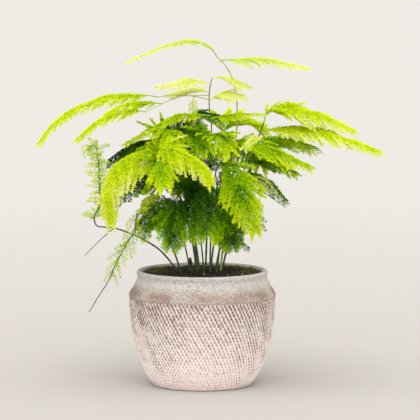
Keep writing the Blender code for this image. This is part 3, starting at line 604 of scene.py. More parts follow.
stub = {
    "points": ((-9, -17, 96), (-9, -17.5, 112), (-11, -19, 124), (-12.5, -20, 133)),
    "foot": 2.2,
    "tip": 1.5,
    "steps": 30,
    "look": {
        "name": "dead_wood_bark", "noise": (90.0, 5.0, 0.7, (4.0, 4.0, 0.8)), "roughness": 0.9,
        "colours": ((0.3, (0.018, 0.011, 0.008)), (0.6, (0.07, 0.045, 0.03)), (0.8, (0.16, 0.12, 0.09))),
        "relief": ((90.0, 5.0, 0.7, (4.0, 4.0, 0.8)), 0.8, 0.0008),
    },
}


def makeStub():
    path = smoothPath(stub["points"], stub["steps"])
    share = np.linspace(0, 1, stub["steps"])
    radii = between(stub["foot"], stub["tip"], share)
    radii = radii + 0.22 * np.sin(share * 31) + 0.15 * np.sin(share * 67 + 1)
    bag = Bag()
    tube(bag, path, radii, 12, share)
    dress(bag.build("stub_fine", [grainMaterial(stub["look"])], smooth=True), "old_stub")


makeSoil()
makeCrumbs()
makeGrit()
makeMoss()
makeStub()
print("soil, crumbs, grit, moss and stump ready")


leafLook = {
    # leaf_mid and leaf_dark, given mostly to inner, lower and back fronds, are partly the deeper green of
    # older leaf and partly painted shade
    "tones": {"leaf_pale": 0.98, "leaf_lime": 0.785, "leaf_mid": 0.50, "leaf_dark": 0.25},
    "colours": ((0.02, (0.004, 0.022, 0.010)), (0.22, (0.026, 0.105, 0.010)), (0.42, (0.14, 0.38, 0.003)),
                (0.60, (0.53, 0.75, 0.006)), (0.80, (0.79, 0.905, 0.014)), (0.92, (0.88, 0.945, 0.03)),
                (1.00, (0.91, 0.95, 0.40))),
    "newest": (0.96, 0.97, 0.50),   # mixed into leaf_pale
    "newestShare": 0.35,
    "patches": (38.0, 2.0),
    "patchSwing": 0.30,    # how far the patches shift the tone
    "grain": (420.0, 2.0),
    "grainSwing": 0.24,
    "roughness": 0.6,
    "specular": 0.03,
    "letsThrough": 0.4,    # share of the light that passes through a needle
}


def leafMaterial(slotName):
    material, tree, shader = newMaterial(slotName + "_needles")
    tone = attributeOf(tree, "tone")
    patch = noiseOf(tree, *leafLook["patches"])
    grain = noiseOf(tree, *leafLook["grain"])
    value = swing(tree, patch, leafLook["patchSwing"], leafLook["tones"][slotName])
    value = maths(tree, "ADD", value, tone)
    fine = swing(tree, grain, leafLook["grainSwing"])
    value = maths(tree, "ADD", value, fine, clamp=True)
    colour = ramp(tree, value, leafLook["colours"])
    if slotName == "leaf_pale":
        colour = mixColour(tree, leafLook["newestShare"], colour, leafLook["newest"])
    paint(tree, shader, colour, leafLook["roughness"], leafLook["specular"])
    through = place(tree, "ShaderNodeBsdfTranslucent", {"Color": colour})
    shares = {0: leafLook["letsThrough"], 1: shader.outputs[0], 2: through.outputs[0]}
    mix = place(tree, "ShaderNodeMixShader", shares)
    feed(tree, tree.nodes["Material Output"].inputs["Surface"], mix.outputs[0])
    return material


leaves = {slotName: leafMaterial(slotName) for slotName in leafLook["tones"]}


caneLook = {
    "noise": (60.0, 4.0, 0.6, (6.0, 6.0, 1.0)),
    "swing": 0.4,
    "colours": ((0.0, (0.045, 0.035, 0.022)), (0.3, (0.035, 0.065, 0.018)), (0.6, (0.10, 0.20, 0.035)),
                (1.0, (0.50, 0.56, 0.11))),
    "roughness": 0.5,
}


def caneMaterial():
    material, tree, shader = newMaterial("cane_bark")
    tone = attributeOf(tree, "tone")
    streak = noiseOf(tree, *caneLook["noise"])
    value = swing(tree, streak, caneLook["swing"])
    value = maths(tree, "ADD", value, tone, clamp=True)
    paint(tree, shader, ramp(tree, value, caneLook["colours"]), caneLook["roughness"])
    bump(tree, shader, streak, 0.4, 0.0003)
    return material


caneBark = caneMaterial()
print("leaf and cane materials ready")


# length of the pinnae at the foot and tip of a frond, as shares of the longest, and where that is
taper = dict(foot=0.62, longestAt=0.16, tip=0.26)


def pinnaLengthShare(share):
    longest = taper["longestAt"]
    rise = between(taper["foot"], 1.0, min(share / longest, 1.0))
    fall = between(1.0, taper["tip"], max(0.0, (share - longest) / (1.0 - longest)))
    return rise * fall


# lengths in mm, angles in degrees; reach is the least reach of a branchlet, what each mm of its pinna
# adds to that, and the most

# dense young leaf: solid pinnae with ragged edges
comb = dict(branchGap=0.9, branchOpen=36.0, reach=(1.8, 0.11, 4.6), twigRadius=0.22, needleGap=0.75,
            needleLength=3.0, needleLean=26.0, needleWidth=0.56, ribRadius=0.45, sag=0.2)

# thin new leaf at the top: hair-fine, lets the light through
silk = dict(branchGap=1.2, branchOpen=34.0, reach=(1.8, 0.12, 4.2), twigRadius=0.17, needleGap=0.9,
            needleLength=3.2, needleLean=26.0, needleWidth=0.3, ribRadius=0.32, sag=0.18)

# large fronds: each pinna is a small feather of its own
broad = dict(branchGap=1.15, branchOpen=26.0, reach=(1.8, 0.105, 4.8), twigRadius=0.24, needleGap=0.95,
             needleLength=3.3, needleLean=23.0, needleWidth=0.58, ribRadius=0.45, sag=0.2)

# inner leaf: fluffy and dense, its pinnae run into each other
shade = dict(branchGap=1.5, branchOpen=50.0, reach=(2.6, 0.16, 7.5), twigRadius=0.22, needleGap=0.95,
             needleLength=2.9, needleLean=40.0, needleWidth=0.42, ribRadius=0.4, sag=0.2)

# old leaf in the shade: a dark, open net of twigs
net = dict(branchGap=1.9, branchOpen=54.0, reach=(2.6, 0.18, 7), twigRadius=0.2, needleGap=1.0,
           needleLength=2.6, needleLean=42.0, needleWidth=0.32, ribRadius=0.28, sag=0.12)

# light, loose sprigs on a long cane
wisp = dict(branchGap=2.0, branchOpen=50.0, reach=(2, 0.12, 4.6), twigRadius=0.22, needleGap=1.2,
            needleLength=2.8, needleLean=34.0, needleWidth=0.4, ribRadius=0.3, sag=0.25)


# shares of a pinna's or a branchlet's own length and width, spreads in degrees
pinnaHabit = dict(ribTaper=0.65, ribTone=-0.06, fullFrom=0.18, branchTaper=0.62, lengthSpread=(0.8, 1.2),
                  branchSpread=6, lift=0.02, liftSpread=0.22, needleSpread=8, needleTaper=0.35,
                  needleLengths=(0.7, 1.2), toneSpread=0.04, needleTone=0.10, tipNeedles=5)


def addPinna(bag, rng, root, direction, normal, length, style, toneFoot, toneTip):
    habit = pinnaHabit
    side = unit(np.cross(direction, normal))
    above = np.cross(side, direction)
    fall = np.array([0.0, 0.0, -1.0])
    sag = style["sag"]

    def centreAt(share):
        share = np.asarray(share)[:, None]
        return root + direction * (length * share) + fall * (sag * length * share * share)

    count = max(4, int(length / 4))
    ribShare = np.linspace(0, 1, count)
    ribRadius = style["ribRadius"] * (1.0 - habit["ribTaper"] * ribShare)
    ribTone = between(toneFoot, toneTip, ribShare) + habit["ribTone"]
    tube(bag, centreAt(ribShare), ribRadius, 3, ribTone, closed=False)
    steps = max(2, int(length / style["branchGap"]))
    share = np.repeat((np.arange(steps) + 0.5) / steps, 2)
    hand = np.tile([-1.0, 1.0], steps)
    share = np.clip(share + rng.uniform(-0.25, 0.25, len(share)) / steps, 0.0, 1.0)
    least, slope, most = style["reach"]
    reach = min(most, least + slope * length)
    reach = reach * (0.5 + 0.5 * np.minimum(share / habit["fullFrom"], 1.0))
    reach = reach * (1.0 - habit["branchTaper"] * share) * rng.uniform(*habit["lengthSpread"], len(share))
    spread = np.radians(style["branchOpen"] + rng.normal(0, habit["branchSpread"], len(share)))[:, None]
    lift = rng.normal(habit["lift"], habit["liftSpread"], len(share))[:, None]
    out = direction * np.cos(spread) + side * hand[:, None] * np.sin(spread) + above * lift
    out = unit(out)
    roots = centreAt(share)
    tone = between(toneFoot, toneTip, share) + rng.normal(0, habit["toneSpread"], len(share))
    width = style["needleWidth"]
    spikes(bag, roots, out, reach, style["twigRadius"], tone - 0.05, tone + 0.04)
    # needles in flat tufts along each branchlet
    number = max(2, int(reach.mean() / style["needleGap"]))
    for index in range(number):
        along = (index + 0.6) / number
        start = roots + out * (reach * along)[:, None]
        for turn in (-1.0, 1.0):
            lean = style["needleLean"] + rng.normal(0, habit["needleSpread"], len(share))
            lean = np.radians(lean)[:, None] * turn
            across = np.cross(out, above)
            way = out * np.cos(lean) + across * np.sin(lean)
            way = way + above * rng.normal(0, habit["liftSpread"], (len(share), 1))
            size = style["needleLength"] * (1.0 - habit["needleTaper"] * along)
            size = size * rng.uniform(*habit["needleLengths"], len(share))
            size = size * (0.55 + 0.45 * np.minimum(reach / 4.0, 1.0))
            needlesFlat(bag, rng, start, unit(way), size, width, tone, tone + habit["needleTone"])
    # a few needles carry the rib on to a point
    number = habit["tipNeedles"]
    tip = centreAt(np.full(number, 0.97))
    way = direction + fall * (2 * sag) + rng.normal(0, 0.2, (number, 3))
    size = rng.uniform(1.8, 3.4, number)
    needlesFlat(bag, rng, tip, unit(way), size, width, toneTip, toneTip + habit["needleTone"])


def nearestOn(path, point):
    gaps = np.linalg.norm(path - np.asarray(point), axis=1)
    return path[int(np.argmin(gaps))]


caneAxes = {}


# angles in degrees, the spiral is that of many plants
# toneFoot, below toneTip, darkens each sprig towards the cane: painted shade
sprigUsual = dict(spiral=137.5, turnSpread=25, opening=(40, 66), sink=0.25, lengthSpread=(0.55, 1.05),
                  toneSpread=0.08, toneFoot=-0.05, toneTip=0.08)


def addSprigs(bag, path, sprigs, seed):
    # short sprigs in a spiral round the outer length of a cane
    sprigs = {**sprigUsual, **sprigs}
    rng = np.random.default_rng(seed)
    tangents = unit(np.gradient(path, axis=0))
    number = sprigs["number"]
    bag.kind = 1
    for index in range(number):
        share = between(sprigs["first"], sprigs["last"], (index + 0.5) / number)
        spot = int(share * (len(path) - 1))
        along = tangents[spot]
        turn = sprigs["spiral"] * index + rng.uniform(-sprigs["turnSpread"], sprigs["turnSpread"])
        turn = math.radians(turn)
        side = unit(np.cross(along, (0.0, 0.3, 1.0)))
        above = np.cross(side, along)
        outward = side * math.cos(turn) + above * math.sin(turn)
        opening = math.radians(rng.uniform(*sprigs["opening"]))
        way = along * math.cos(opening) + outward * math.sin(opening)
        way = unit(way - np.array([0, 0, sprigs["sink"]]))
        length = sprigs["longest"] * rng.uniform(*sprigs["lengthSpread"])
        tone = sprigs["tone"] + rng.uniform(-sprigs["toneSpread"], sprigs["toneSpread"])
        addPinna(bag, rng, path[spot], way, np.cross(along, outward), length, wisp,
                 tone + sprigs["toneFoot"], tone + sprigs["toneTip"])


# what a cane has unless its own dictionary says otherwise; sizes in mm
caneUsual = dict(foot=1, tip=0.65, tones=(0.42, 0.5), forks=(), sides=8, forkSides=6, step=3.0,
                 jointGap=17.0, jointRise=0.10, jointWidth=0.08)


def makeCane(name, cane):
    # the cane, its bare forks and its own short sprigs
    length = pathLength(smoothPath(cane["points"], 60))
    count = int(length / cane["step"]) + 2
    path = smoothPath(cane["points"], count)
    share = np.linspace(0, 1, count)
    radii = between(cane["foot"], cane["tip"], share)
    fromJoint = (share * length / cane["jointGap"]) % 1.0 - 0.5
    joints = cane["jointRise"] * np.exp(-(fromJoint / cane["jointWidth"]) ** 2)
    # darker towards the foot: painted shade on the lower part of the cane
    tones = between(*cane["tones"], np.minimum(share * 1.6, 1.0))
    bag = Bag()
    tube(bag, path, radii + joints, cane["sides"], tones - joints * 2)
    axes = [path]
    forkTone = cane.get("forkTone", cane["tones"][1])
    for fork in cane["forks"]:
        bend = smoothPath(fork["points"], 30)
        bend[0] = nearestOn(path, bend[0])
        width = between(fork["foot"], fork["tip"], np.linspace(0, 1, len(bend)))
        tube(bag, bend, width, cane["forkSides"], np.full(len(bend), forkTone))
        axes.append(bend)
    caneAxes[name] = axes
    if "sprigs" in cane:
        addSprigs(bag, path, cane["sprigs"], len(caneAxes))
    made = bag.build(name + "_fine", [caneBark, leaves["leaf_lime"]], smooth=True)
    dress(made, name)


canes = {
    "cane_tall_right": dict(foot=1.1, tip=0.55, tones=(0.95, 0.95),
         points=((18, 3, 95), (19, 4, 118), (22, 6, 146), (30, 9, 205), (35.5, 10, 264), (35.3, 9, 294),
                 (33, 8, 308), (29, 7, 319), (22.8, 6, 329), (15.4, 5, 336.5)),
         forks=(
             dict(points=((23.5, 6, 328), (20, 2, 332), (16, 0, 331)), foot=0.5, tip=0.35),
         )),
    "cane_tall_middle": dict(foot=1.1, tip=0.5, forkTone=0.95,
         points=((3, 0, 95), (3.5, 0, 118), (5, 2, 160), (8, 4, 215), (9.6, 5, 262), (8.1, 5, 276),
                 (7.1, 5, 290), (7.6, 5, 303), (10, 5, 315)),
         forks=(
             dict(points=((7.3, 5, 293), (-12, 4, 297), (-31, 2, 297.5), (-45, 0, 296)), foot=0.6, tip=0.45),
             dict(points=((-22, 3, 297.5), (-36, -5, 291.5), (-46.5, -11, 287), (-57, -18, 282)),
                  foot=0.5, tip=0.4),
         )),
    "cane_long_left": dict(tip=0.5,
         points=((-25, 2, 95), (-26, 1.5, 116), (-40.5, -2, 136), (-53, -5, 146), (-66, -8, 153.5),
                 (-76, -10, 158), (-89, -13, 162.5), (-100, -15, 164), (-108, -17, 166), (-110, -17, 176),
                 (-104.5, -16, 188), (-105, -15, 219), (-107, -13, 242), (-111, -12, 248),
                 (-117, -11, 243)),
         forks=(
             dict(points=((-90, -13, 162.7), (-103, -16, 152), (-112, -18, 143), (-120, -20, 135)),
                  foot=0.5, tip=0.35),
         ),
         sprigs=dict(first=0.60, last=0.99, number=66, longest=15, tone=-0.12)),
    "cane_arching": dict(tip=0.45,
         points=((-21, -7, 95), (-22, -8, 116), (-31, -10, 144), (-42, -13, 169), (-49, -15, 179.5),
                 (-58, -17, 183), (-66, -19, 178), (-69, -22, 160), (-73, -24, 154), (-78, -26, 146),
                 (-83, -28, 137), (-87, -29, 130), (-91.5, -30, 119), (-97.5, -31, 107), (-106, -32, 94),
                 (-115, -33, 79)),
         sprigs=dict(first=0.42, last=0.80, number=32, longest=18, tone=-0.14)),
    "cane_right": dict(foot=1.1, tip=0.7,
         points=((20, 11, 95), (21, 11, 118), (29, 12, 152), (45, 11, 205), (55, 9, 245), (63, 7, 269)),
         forks=(
             dict(points=((42.5, 11, 195), (54, 4, 201), (68, -3, 195), (86, -9, 183)), foot=0.5, tip=0.35),
         )),
    "cane_right_front": dict(
         points=((15, -5, 95), (15.5, -5, 118), (20, -7, 160), (26, -11, 205), (28, -14, 238))),
    "cane_right_low": dict(
         points=((12, 9, 95), (14, 9.5, 118), (21, 13, 150), (36, 17, 192), (44, 18, 222))),
    "cane_left": dict(foot=1.1,
         points=((-6, 6, 95), (-6.4, 6, 118), (-11, 7.5, 150), (-26, 10, 202), (-36, 11, 238))),
    "cane_left_front": dict(foot=1.1,
         points=((-4, -8, 95), (-4.4, -8.5, 118), (-9, -12, 150), (-23, -19, 198), (-38, -25, 232))),
    "cane_front": dict(
         points=((8, -8, 95), (8, -9, 118), (9, -13, 160), (11, -19, 200), (14, -24, 222))),
    "cane_front_low": dict(foot=0.9, tip=0.6,
         points=((2, -13, 95), (1.6, -14, 118), (-1, -20, 148), (-5, -27, 178), (-7, -34, 197))),
    "cane_left_low": dict(foot=0.9, tip=0.55,
         points=((-12, -1, 95), (-13, -1.5, 118), (-19, -5, 148), (-31, -11, 173), (-42, -17, 190))),
    "cane_back_left": dict(
         points=((-2, 13, 95), (-3, 14, 118), (-8, 20, 150), (-20, 33, 200), (-28, 42, 235))),
    "cane_back_right": dict(
         points=((8, 17, 95), (9, 18, 118), (13, 26, 152), (20, 41, 210), (23, 48, 252))),
}

for name, cane in canes.items():
    makeCane(name, {**caneUsual, **cane})
print("canes ready:", len(canes))


# what a frond has unless its own dictionary says otherwise: its pinnae grow between bare and last,
# as shares of the stalk, open from it by so many degrees and droop, and hang as a share of their length
# toneFoot, below toneTip, darkens each pinna towards the stalk: painted shade between the layers of a frond
frondUsual = dict(style=broad, face=up, droop=5, hang=0.1, open=54, tipOpen=30, bare=0.07, last=0.985,
                  step=2.5, stepSpread=0.15, stalkFoot=0.72, stalkTip=0.30, openSpread=3, droopSpread=4,
                  lengthSpread=(0.80, 1.12), tones=(-0.05, 0.08), toneSpread=0.07, toneFoot=-0.15,
                  toneTip=0.13, stalkTone=-0.12)


def makeFrond(name, frond, number):
    # a stalk from the cane with two rows of feathery pinnae
    rng = np.random.default_rng(number * 7 + 3)   # every frond has its own random draws
    bare = frond["bare"]
    first = np.array(frond["stalk"][0], float)
    places = [nearestOn(axis, first) for axis in caneAxes[frond["cane"]]]
    root = min(places, key=lambda point: float(np.linalg.norm(point - first)))
    points = [tuple(root)] + list(frond["stalk"][1:])
    length = pathLength(smoothPath(points, 80))
    count = int(length / frond["step"]) + 2
    path = smoothPath(points, count)
    share = np.linspace(0, 1, count)
    tones = frond["tones"]
    tangents = unit(np.gradient(path, axis=0))
    bag = Bag()
    radii = between(frond["stalkFoot"], frond["stalkTip"], share)
    tube(bag, path, radii, 6, between(*tones, share) + frond["stalkTone"])
    pairs = int(length * (0.97 - bare) / frond["gap"])
    for pair in range(pairs):
        for hand in (-1, 1):
            step = pair + 0.25 + 0.5 * (hand > 0) + rng.uniform(-frond["stepSpread"], frond["stepSpread"])
            step = min(max(step / pairs, 0.0), 1.0)
            spot = between(bare, frond["last"], step)
            index = min(int(spot * (count - 1)), count - 2)
            part = spot * (count - 1) - index
            start = path[index] * (1 - part) + path[index + 1] * part
            along = tangents[index]
            side = unit(np.cross(along, np.array(frond["face"], float)))
            above = np.cross(side, along)
            opening = between(frond["open"], frond["tipOpen"], step)
            opening = math.radians(opening + rng.normal(0, frond["openSpread"]))
            down = math.radians(frond["droop"] + rng.normal(0, frond["droopSpread"]))
            way = along * math.cos(opening) + side * (hand * math.sin(opening))
            way = unit(way * math.cos(down) - above * math.sin(down))
            way = unit(way - np.array([0.0, 0.0, frond["hang"]]))
            reach = frond["pinna"] * pinnaLengthShare(step) * rng.uniform(*frond["lengthSpread"])
            tone = between(*tones, step) + rng.uniform(-frond["toneSpread"], frond["toneSpread"])
            addPinna(bag, rng, start, way, above, reach, frond["style"],
                     tone + frond["toneFoot"], tone + frond["toneTip"])
    made = bag.build(name + "_fine", [leaves[frond["slot"]]])
    dress(made, name)
    return len(made.data.polygons)


fronds = {
    "frond_top_left": dict(cane="cane_tall_right", slot="leaf_pale",
         stalk=((15.4, 5, 336.5), (9, 3, 345.5), (-1, 1, 351.5), (-15, -1, 353), (-38, -5, 348.5),
                (-60, -8, 339.5), (-78, -10, 331)),
         pinna=11, gap=2.8, style=silk, hang=0.0, open=30, tones=(-0.34, -0.04)),
    "frond_top_right": dict(cane="cane_tall_right", slot="leaf_pale",
         stalk=((19, 5.5, 333), (26, 2, 334), (60, -4, 335), (85, -8, 331), (108, -12, 326)),
         pinna=19, gap=2.8, style=silk, droop=6, hang=0.0, open=34, tones=(-0.34, -0.04)),
    "frond_crown_left": dict(cane="cane_tall_middle", slot="leaf_pale",
         stalk=((8.5, 5, 308), (0, 1, 311.5), (-20, -5, 311.5), (-45, -9, 307.5)),
         pinna=23, gap=2.6, style=silk, face=(0, -0.22, 0.97), hang=0.0, open=36, tones=(-0.02, 0.1)),
    "frond_crown_right": dict(cane="cane_tall_middle", slot="leaf_pale",
         stalk=((10, 5, 315), (18, 4, 315.8), (31, 2, 313), (47, 0, 308)),
         pinna=23, gap=2.6, style=silk, face=(0.03, -0.18, 0.98), hang=0.0, open=38, tones=(-0.02, 0.1)),
    "frond_second_left": dict(cane="cane_tall_middle", slot="leaf_pale",
         stalk=((7.3, 5, 299), (0, 9, 302.5), (-15, 13, 302), (-34, 18, 298)),
         pinna=23, gap=2.6, style=silk, face=(0, -0.26, 0.96), hang=0.0, open=36, tones=(0.06, 0.14)),
    "frond_second_right": dict(cane="cane_tall_middle", slot="leaf_pale",
         stalk=((7.1, 5, 291), (14, 1, 297), (26, -4, 299), (42, -8, 297)),
         pinna=24, gap=2.6, style=silk, face=(0, -0.24, 0.97), hang=0.0, open=38, tones=(-0.02, 0.1)),
    "frond_far_left": dict(cane="cane_tall_middle", slot="leaf_lime",
         stalk=((-45, 0, 296), (-60, -3, 298), (-92, -9, 297), (-126, -13, 286), (-151, -17, 269),
                (-167, -19, 249)),
         pinna=23, gap=3.3, hang=0.0, open=29, tones=(-0.03, 0.06)),
    "frond_upper_left_fan": dict(cane="cane_tall_middle", slot="leaf_lime",
         stalk=((-40, -7, 290), (-55, -8, 291), (-75, -22, 290), (-97, -30, 281)),
         pinna=19, gap=3.5, hang=0.0, open=32, tones=(-0.08, 0.03)),
    "frond_left_lower": dict(cane="cane_tall_middle", slot="leaf_lime",
         stalk=((-57, -18, 282), (-66, -23, 283.5), (-84, -31, 282), (-102, -38, 275), (-117, -43, 264),
                (-127, -46, 255)),
         pinna=18, gap=3.2, hang=0.0, open=28, tones=(-0.05, 0.06)),
    "frond_pale_hanging": dict(cane="cane_tall_middle", slot="leaf_pale",
         stalk=((-9, 4.2, 296.5), (-9.5, 7, 286), (-9.5, 8, 272), (-9.4, 8, 257)),
         pinna=6, gap=3.4, style=silk, face=front, droop=10),
    "frond_middle_left": dict(cane="cane_tall_middle", slot="leaf_lime",
         stalk=((8, 5, 276), (-4, -1, 278), (-22, -7, 277), (-43, -12, 269), (-79, -19, 249)),
         pinna=17, gap=3.2, hang=0.0, open=30, tones=(-0.14, 0.05)),
    "frond_middle_strip": dict(cane="cane_tall_middle", slot="leaf_lime",
         stalk=((8.4, 5, 273), (22, -1, 277), (40, -4, 279), (64, -6, 279)),
         pinna=15, gap=4.4, style=comb, droop=8, hang=0.0, open=30),
    "frond_far_right_upper": dict(cane="cane_right", slot="leaf_lime",
         stalk=((63, 7, 269), (66.5, 5, 279), (79, 3, 284), (100, 0, 282), (126, -4, 275), (154, -8, 263)),
         pinna=34, gap=3.2, droop=6, hang=0.0, open=46, tones=(0.0, 0.1)),
    "frond_far_right": dict(cane="cane_right", slot="leaf_lime",
         stalk=((59, 8, 257), (73, 0, 263), (112, -14, 263.5), (142, -20, 256), (182, -28, 242.5)),
         pinna=31, gap=3.3, droop=7, hang=0.0, open=34, tones=(-0.02, 0.1)),
    "frond_right_front_tip": dict(cane="cane_right", slot="leaf_pale",
         stalk=((55.5, 9, 247), (56, -6, 257), (52, -22, 256), (42, -38, 248)),
         pinna=20, gap=4.6, style=comb, face=(0.1, -0.8, 0.8), droop=20, hang=0.3, tones=(-0.12, 0.0)),
    "frond_right_dark": dict(cane="cane_right", slot="leaf_dark",
         stalk=((52, 9.6, 233), (66, 14, 247), (88, 19, 252), (117, 24, 243)),
         pinna=34, gap=3.7, style=shade, droop=12, hang=0.0, open=42, tones=(0.24, 0.36)),
    "frond_right_mid": dict(cane="cane_right_front", slot="leaf_lime",
         stalk=((28, -14, 238), (35, -18, 248), (52, -24, 250), (76, -31, 243), (108, -38, 229)),
         pinna=36, gap=3.5, droop=8, hang=0.02, open=37, tones=(-0.28, -0.06)),
    "frond_right_under": dict(cane="cane_right_low", slot="leaf_mid",
         stalk=((44, 18, 222), (51, 18, 229), (72, 14, 230), (95, 9, 219)),
         pinna=32, gap=3.7, droop=9, hang=0.02, open=38, tones=(-0.1, 0.12)),
    "frond_right_sparse": dict(cane="cane_right", slot="leaf_pale",
         stalk=((45.5, 11, 207), (54, 4, 214), (64, -4, 211), (76, -10, 199)),
         pinna=18, gap=6, style=wisp, droop=16, tones=(-0.1, 0.0)),
    "frond_front_right": dict(cane="cane_front", slot="leaf_mid",
         stalk=((14, -24, 222), (20, -34, 232), (33, -48, 220), (45, -58, 195), (53, -60, 164)),
         pinna=39, gap=4.6, face=(0.3, -1, 0.5), droop=12, tones=(0.0, 0.22)),
    "frond_bluish_right": dict(cane="cane_right_front", slot="leaf_dark",
         stalk=((22, -8.3, 175), (36, -13, 190), (50, -18, 182), (61, -22, 163)),
         pinna=26, gap=6, style=net, face=(0.4, -1, 0.6), droop=12),
    "frond_low_right": dict(cane="cane_right_front", slot="leaf_dark",
         stalk=((17.5, -6, 138), (27, -8, 151), (38, -9, 150), (49, -11, 142)),
         pinna=16, gap=5, style=net, droop=18, hang=0.35),
    "frond_front_left": dict(cane="cane_left_front", slot="leaf_lime",
         stalk=((-38, -25, 232), (-46, -30, 243), (-66, -37, 242), (-83, -44, 233), (-92, -50, 216),
                (-94, -54, 197), (-92, -56, 172)),
         pinna=40, gap=3.3, face=(-0.3, -0.5, 0.9), droop=14, hang=0.45, tones=(0.03, 0.15)),
    "frond_front_middle": dict(cane="cane_left_front", slot="leaf_lime",
         stalk=((-33, -22.7, 220), (-44, -34, 243), (-33, -46, 248), (-14, -58, 241), (1, -68, 231),
                (10, -76, 215)),
         pinna=31, gap=3.3, face=(0.1, -0.8, 0.9), droop=12, hang=0.32, tones=(0.01, 0.06)),
    "frond_front_centre": dict(cane="cane_left_front", slot="leaf_lime",
         stalk=((-28, -20.4, 208), (-42, -44, 232), (-42, -72, 232), (-37, -96, 214)),
         pinna=36, gap=3.5, face=(0, -0.8, 0.7), droop=12, hang=0.25, tones=(-0.3, -0.08)),
    "frond_left_dark": dict(cane="cane_left", slot="leaf_dark",
         stalk=((-36, 11, 238), (-44, 13, 248), (-70, 19, 248), (-98, 26, 229)),
         pinna=36, gap=3.7, style=shade, droop=22, hang=0.25),
    "frond_heart_left": dict(cane="cane_left", slot="leaf_lime",
         stalk=((-33, 10.6, 226), (-40, -1, 254), (-37, -18, 264), (-29, -40, 253)),
         pinna=40, gap=3.5, face=(0.1, -0.6, 1), droop=10, hang=0.12, open=48, tones=(-0.28, -0.08)),
    "frond_heart_middle": dict(cane="cane_left", slot="leaf_mid",
         stalk=((-29, 10.2, 210), (-22, -2, 250), (-10, -24, 261), (6, -48, 246)),
         pinna=42, gap=3.5, face=(0.1, -0.7, 1), droop=10, hang=0.08, open=44, tones=(-0.12, 0.02)),
    "frond_heart_right": dict(cane="cane_tall_middle", slot="leaf_lime",
         stalk=((8.6, 4.4, 235), (8, -10, 254), (14, -24, 259), (28, -38, 246)),
         pinna=42, gap=3.5, face=(0.1, -0.6, 1), droop=11, hang=0.06, open=42, tones=(-0.3, -0.06)),
    "frond_heart_dark": dict(cane="cane_tall_middle", slot="leaf_dark",
         stalk=((8, 4, 214), (2, -6, 230), (-8, -14, 228), (-19, -22, 206)),
         pinna=46, gap=3.7, style=shade, face=(0, -1, 0.5), droop=14, hang=0.45, tones=(0.1, 0.28)),
    "frond_heart_low": dict(cane="cane_tall_middle", slot="leaf_dark",
         stalk=((6.6, 3, 182), (14, -8, 202), (22, -18, 196), (25, -27, 170)),
         pinna=42, gap=3.7, style=shade, face=(0.2, -1, 0.5), droop=14, hang=0.45, tones=(0.04, 0.2)),
    "frond_small_left": dict(cane="cane_left_low", slot="leaf_lime",
         stalk=((-42, -17, 190), (-47, -20, 197), (-55, -24, 194), (-62, -28, 184)),
         pinna=15, gap=4.4, style=comb, face=(-0.2, -0.7, 0.8), droop=16),
    "frond_tuft_left": dict(cane="cane_left_low", slot="leaf_mid",
         stalk=((-27, -8.6, 162), (-42, -20, 176), (-54, -27, 172), (-59, -32, 152)),
         pinna=20, gap=5, style=shade, face=(-0.2, -1, 0.5), droop=14, tones=(-0.14, 0.04)),
    "frond_low_front": dict(cane="cane_front_low", slot="leaf_dark",
         stalk=((-7, -34, 197), (-5, -42, 206), (2, -54, 196), (5, -64, 164)),
         pinna=46, gap=3.5, style=shade, face=(0.1, -1, 0.6), droop=12, hang=0.3, tones=(0.0, 0.24)),
    "frond_low_front_left": dict(cane="cane_front_low", slot="leaf_mid",
         stalk=((-5.3, -24.5, 170), (-16, -40, 192), (-26, -52, 182), (-32, -60, 152)),
         pinna=42, gap=3.5, style=shade, face=(-0.2, -1, 0.6), droop=12, hang=0.3, tones=(-0.22, -0.04)),
    "frond_low_front_right": dict(cane="cane_front", slot="leaf_dark",
         stalk=((10.3, -17, 187), (22, -32, 190), (29, -42, 174), (31, -46, 150)),
         pinna=38, gap=3.5, style=shade, face=(0.4, -1, 0.5), droop=12, hang=0.3, tones=(0.0, 0.16)),
    "frond_low_left": dict(cane="cane_left", slot="leaf_dark",
         stalk=((-20, 8.5, 170), (-36, 3, 186), (-54, -3, 180), (-68, -8, 162)),
         pinna=32, gap=3.6, style=net, face=(-0.3, -0.6, 0.9), droop=16, hang=0.3, tones=(-0.2, -0.04)),
    "frond_back_left": dict(cane="cane_back_left", slot="leaf_mid",
         stalk=((-28, 42, 235), (-34, 49, 246), (-50, 72, 248), (-68, 104, 226)),
         pinna=44, gap=4.2, face=(-0.2, 0.5, 1), droop=18),
    "frond_back_left_low": dict(cane="cane_back_left", slot="leaf_dark",
         stalk=((-20.5, 33, 198), (-44, 46, 216), (-74, 58, 208), (-100, 66, 180)),
         pinna=38, gap=4.2, style=shade, face=(-0.3, 0.5, 1), droop=18),
    "frond_back_top": dict(cane="cane_back_left", slot="leaf_dark",
         stalk=((-26, 39.5, 225), (-22, 38, 258), (-8, 34, 277), (18, 30, 276)),
         pinna=36, gap=4.2, style=shade, face=(0, -0.2, 1), droop=16, tones=(0.0, 0.16)),
    "frond_back_right_top": dict(cane="cane_back_right", slot="leaf_mid",
         stalk=((23, 48, 252), (25, 52, 262), (40, 60, 270), (66, 64, 260)),
         pinna=38, gap=3.7, face=(0.1, -0.4, 0.92), droop=10, hang=0.0, open=44, tones=(0.14, 0.3)),
    "frond_back_right": dict(cane="cane_back_right", slot="leaf_mid",
         stalk=((21.5, 44.5, 231), (34, 64, 246), (52, 92, 240), (62, 118, 216)),
         pinna=44, gap=4.2, face=(0.2, 0.5, 1), droop=18),
    "frond_back_right_low": dict(cane="cane_back_right", slot="leaf_dark",
         stalk=((18, 37, 193), (40, 50, 212), (66, 61, 207), (88, 69, 184)),
         pinna=28, gap=4.2, style=shade, face=(0.3, 0.5, 1), droop=18),
}

triangles = 0
for number, (name, frond) in enumerate(fronds.items(), 1):
    triangles += makeFrond(name, {**frondUsual, **frond}, number)
print("fronds ready:", len(fronds), "with", triangles, "triangles")


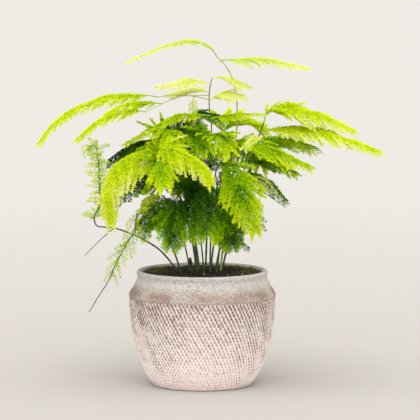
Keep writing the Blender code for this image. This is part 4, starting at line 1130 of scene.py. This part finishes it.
studio = {
    "eye": (0.008, -3.2, 0.505),
    "aim": (0.008, 0.0, 0.180),
    "lens": 269.0,
    "sensor": 36.0,
    "floorSize": 400.0,
    "clipEnd": 1500.0,
    "lights": (("key", 1.7, (1.0, 0.985, 0.965), (14, -4, 0)),
               ("fill", 0.85, (1.0, 0.985, 0.97), (60, 0, 4))),   # name, power, colour, turn in degrees
    "lightAngle": 60.0,    # width of each light in the sky, in degrees
    "sky": (0.82, 0.785, 0.735, 1.0),
    "skyPower": 1.2,
    "floor": ((0.0, (0.462, 0.448, 0.436)), (1.0, (0.525, 0.522, 0.516))),   # from the middle outward
}


def floorMaterial():
    material, tree, shader = newMaterial("floor_pale")
    coordinates = place(tree, "ShaderNodeTexCoord")
    reach = place(tree, "ShaderNodeVectorMath", {0: coordinates.outputs["Object"]}, operation="LENGTH")
    away = shifted(tree, reach.outputs["Value"], 0.5, 0.0, clamp=True)
    paint(tree, shader, ramp(tree, away, studio["floor"]), 1.0, 0.0)
    return material


def makeStudio():
    size = studio["floorSize"]
    mesh = bpy.data.meshes.new("floor")
    corners = ((-size, -size, 0), (size, -size, 0), (size, size, 0), (-size, size, 0))
    mesh.from_pydata(corners, [], [(0, 1, 2, 3)])
    mesh.materials.append(floorMaterial())
    stand("floor", mesh)

    for name, power, colour, turn in studio["lights"]:
        lamp = bpy.data.lights.new(name, "SUN")
        lamp.energy = power
        lamp.angle = math.radians(studio["lightAngle"])
        lamp.color = colour
        light = stand(name, lamp)
        light.rotation_euler = [math.radians(value) for value in turn]

    world = bpy.data.worlds.new("studio")
    world.use_nodes = True
    background = world.node_tree.nodes["Background"]
    background.inputs["Color"].default_value = studio["sky"]
    background.inputs["Strength"].default_value = studio["skyPower"]

    lens = bpy.data.cameras.new("camera")
    lens.lens = studio["lens"]
    lens.sensor_width = studio["sensor"]
    lens.clip_end = studio["clipEnd"]
    camera = stand("camera", lens)
    camera.location = studio["eye"]
    look = Vector(studio["aim"]) - Vector(studio["eye"])
    camera.rotation_euler = look.to_track_quat("-Z", "Y").to_euler()
    scene = bpy.context.scene
    scene.camera = camera
    scene.world = world
    scene.view_settings.view_transform = "Standard"
    scene.view_settings.look = "None"


makeStudio()
print("studio ready")
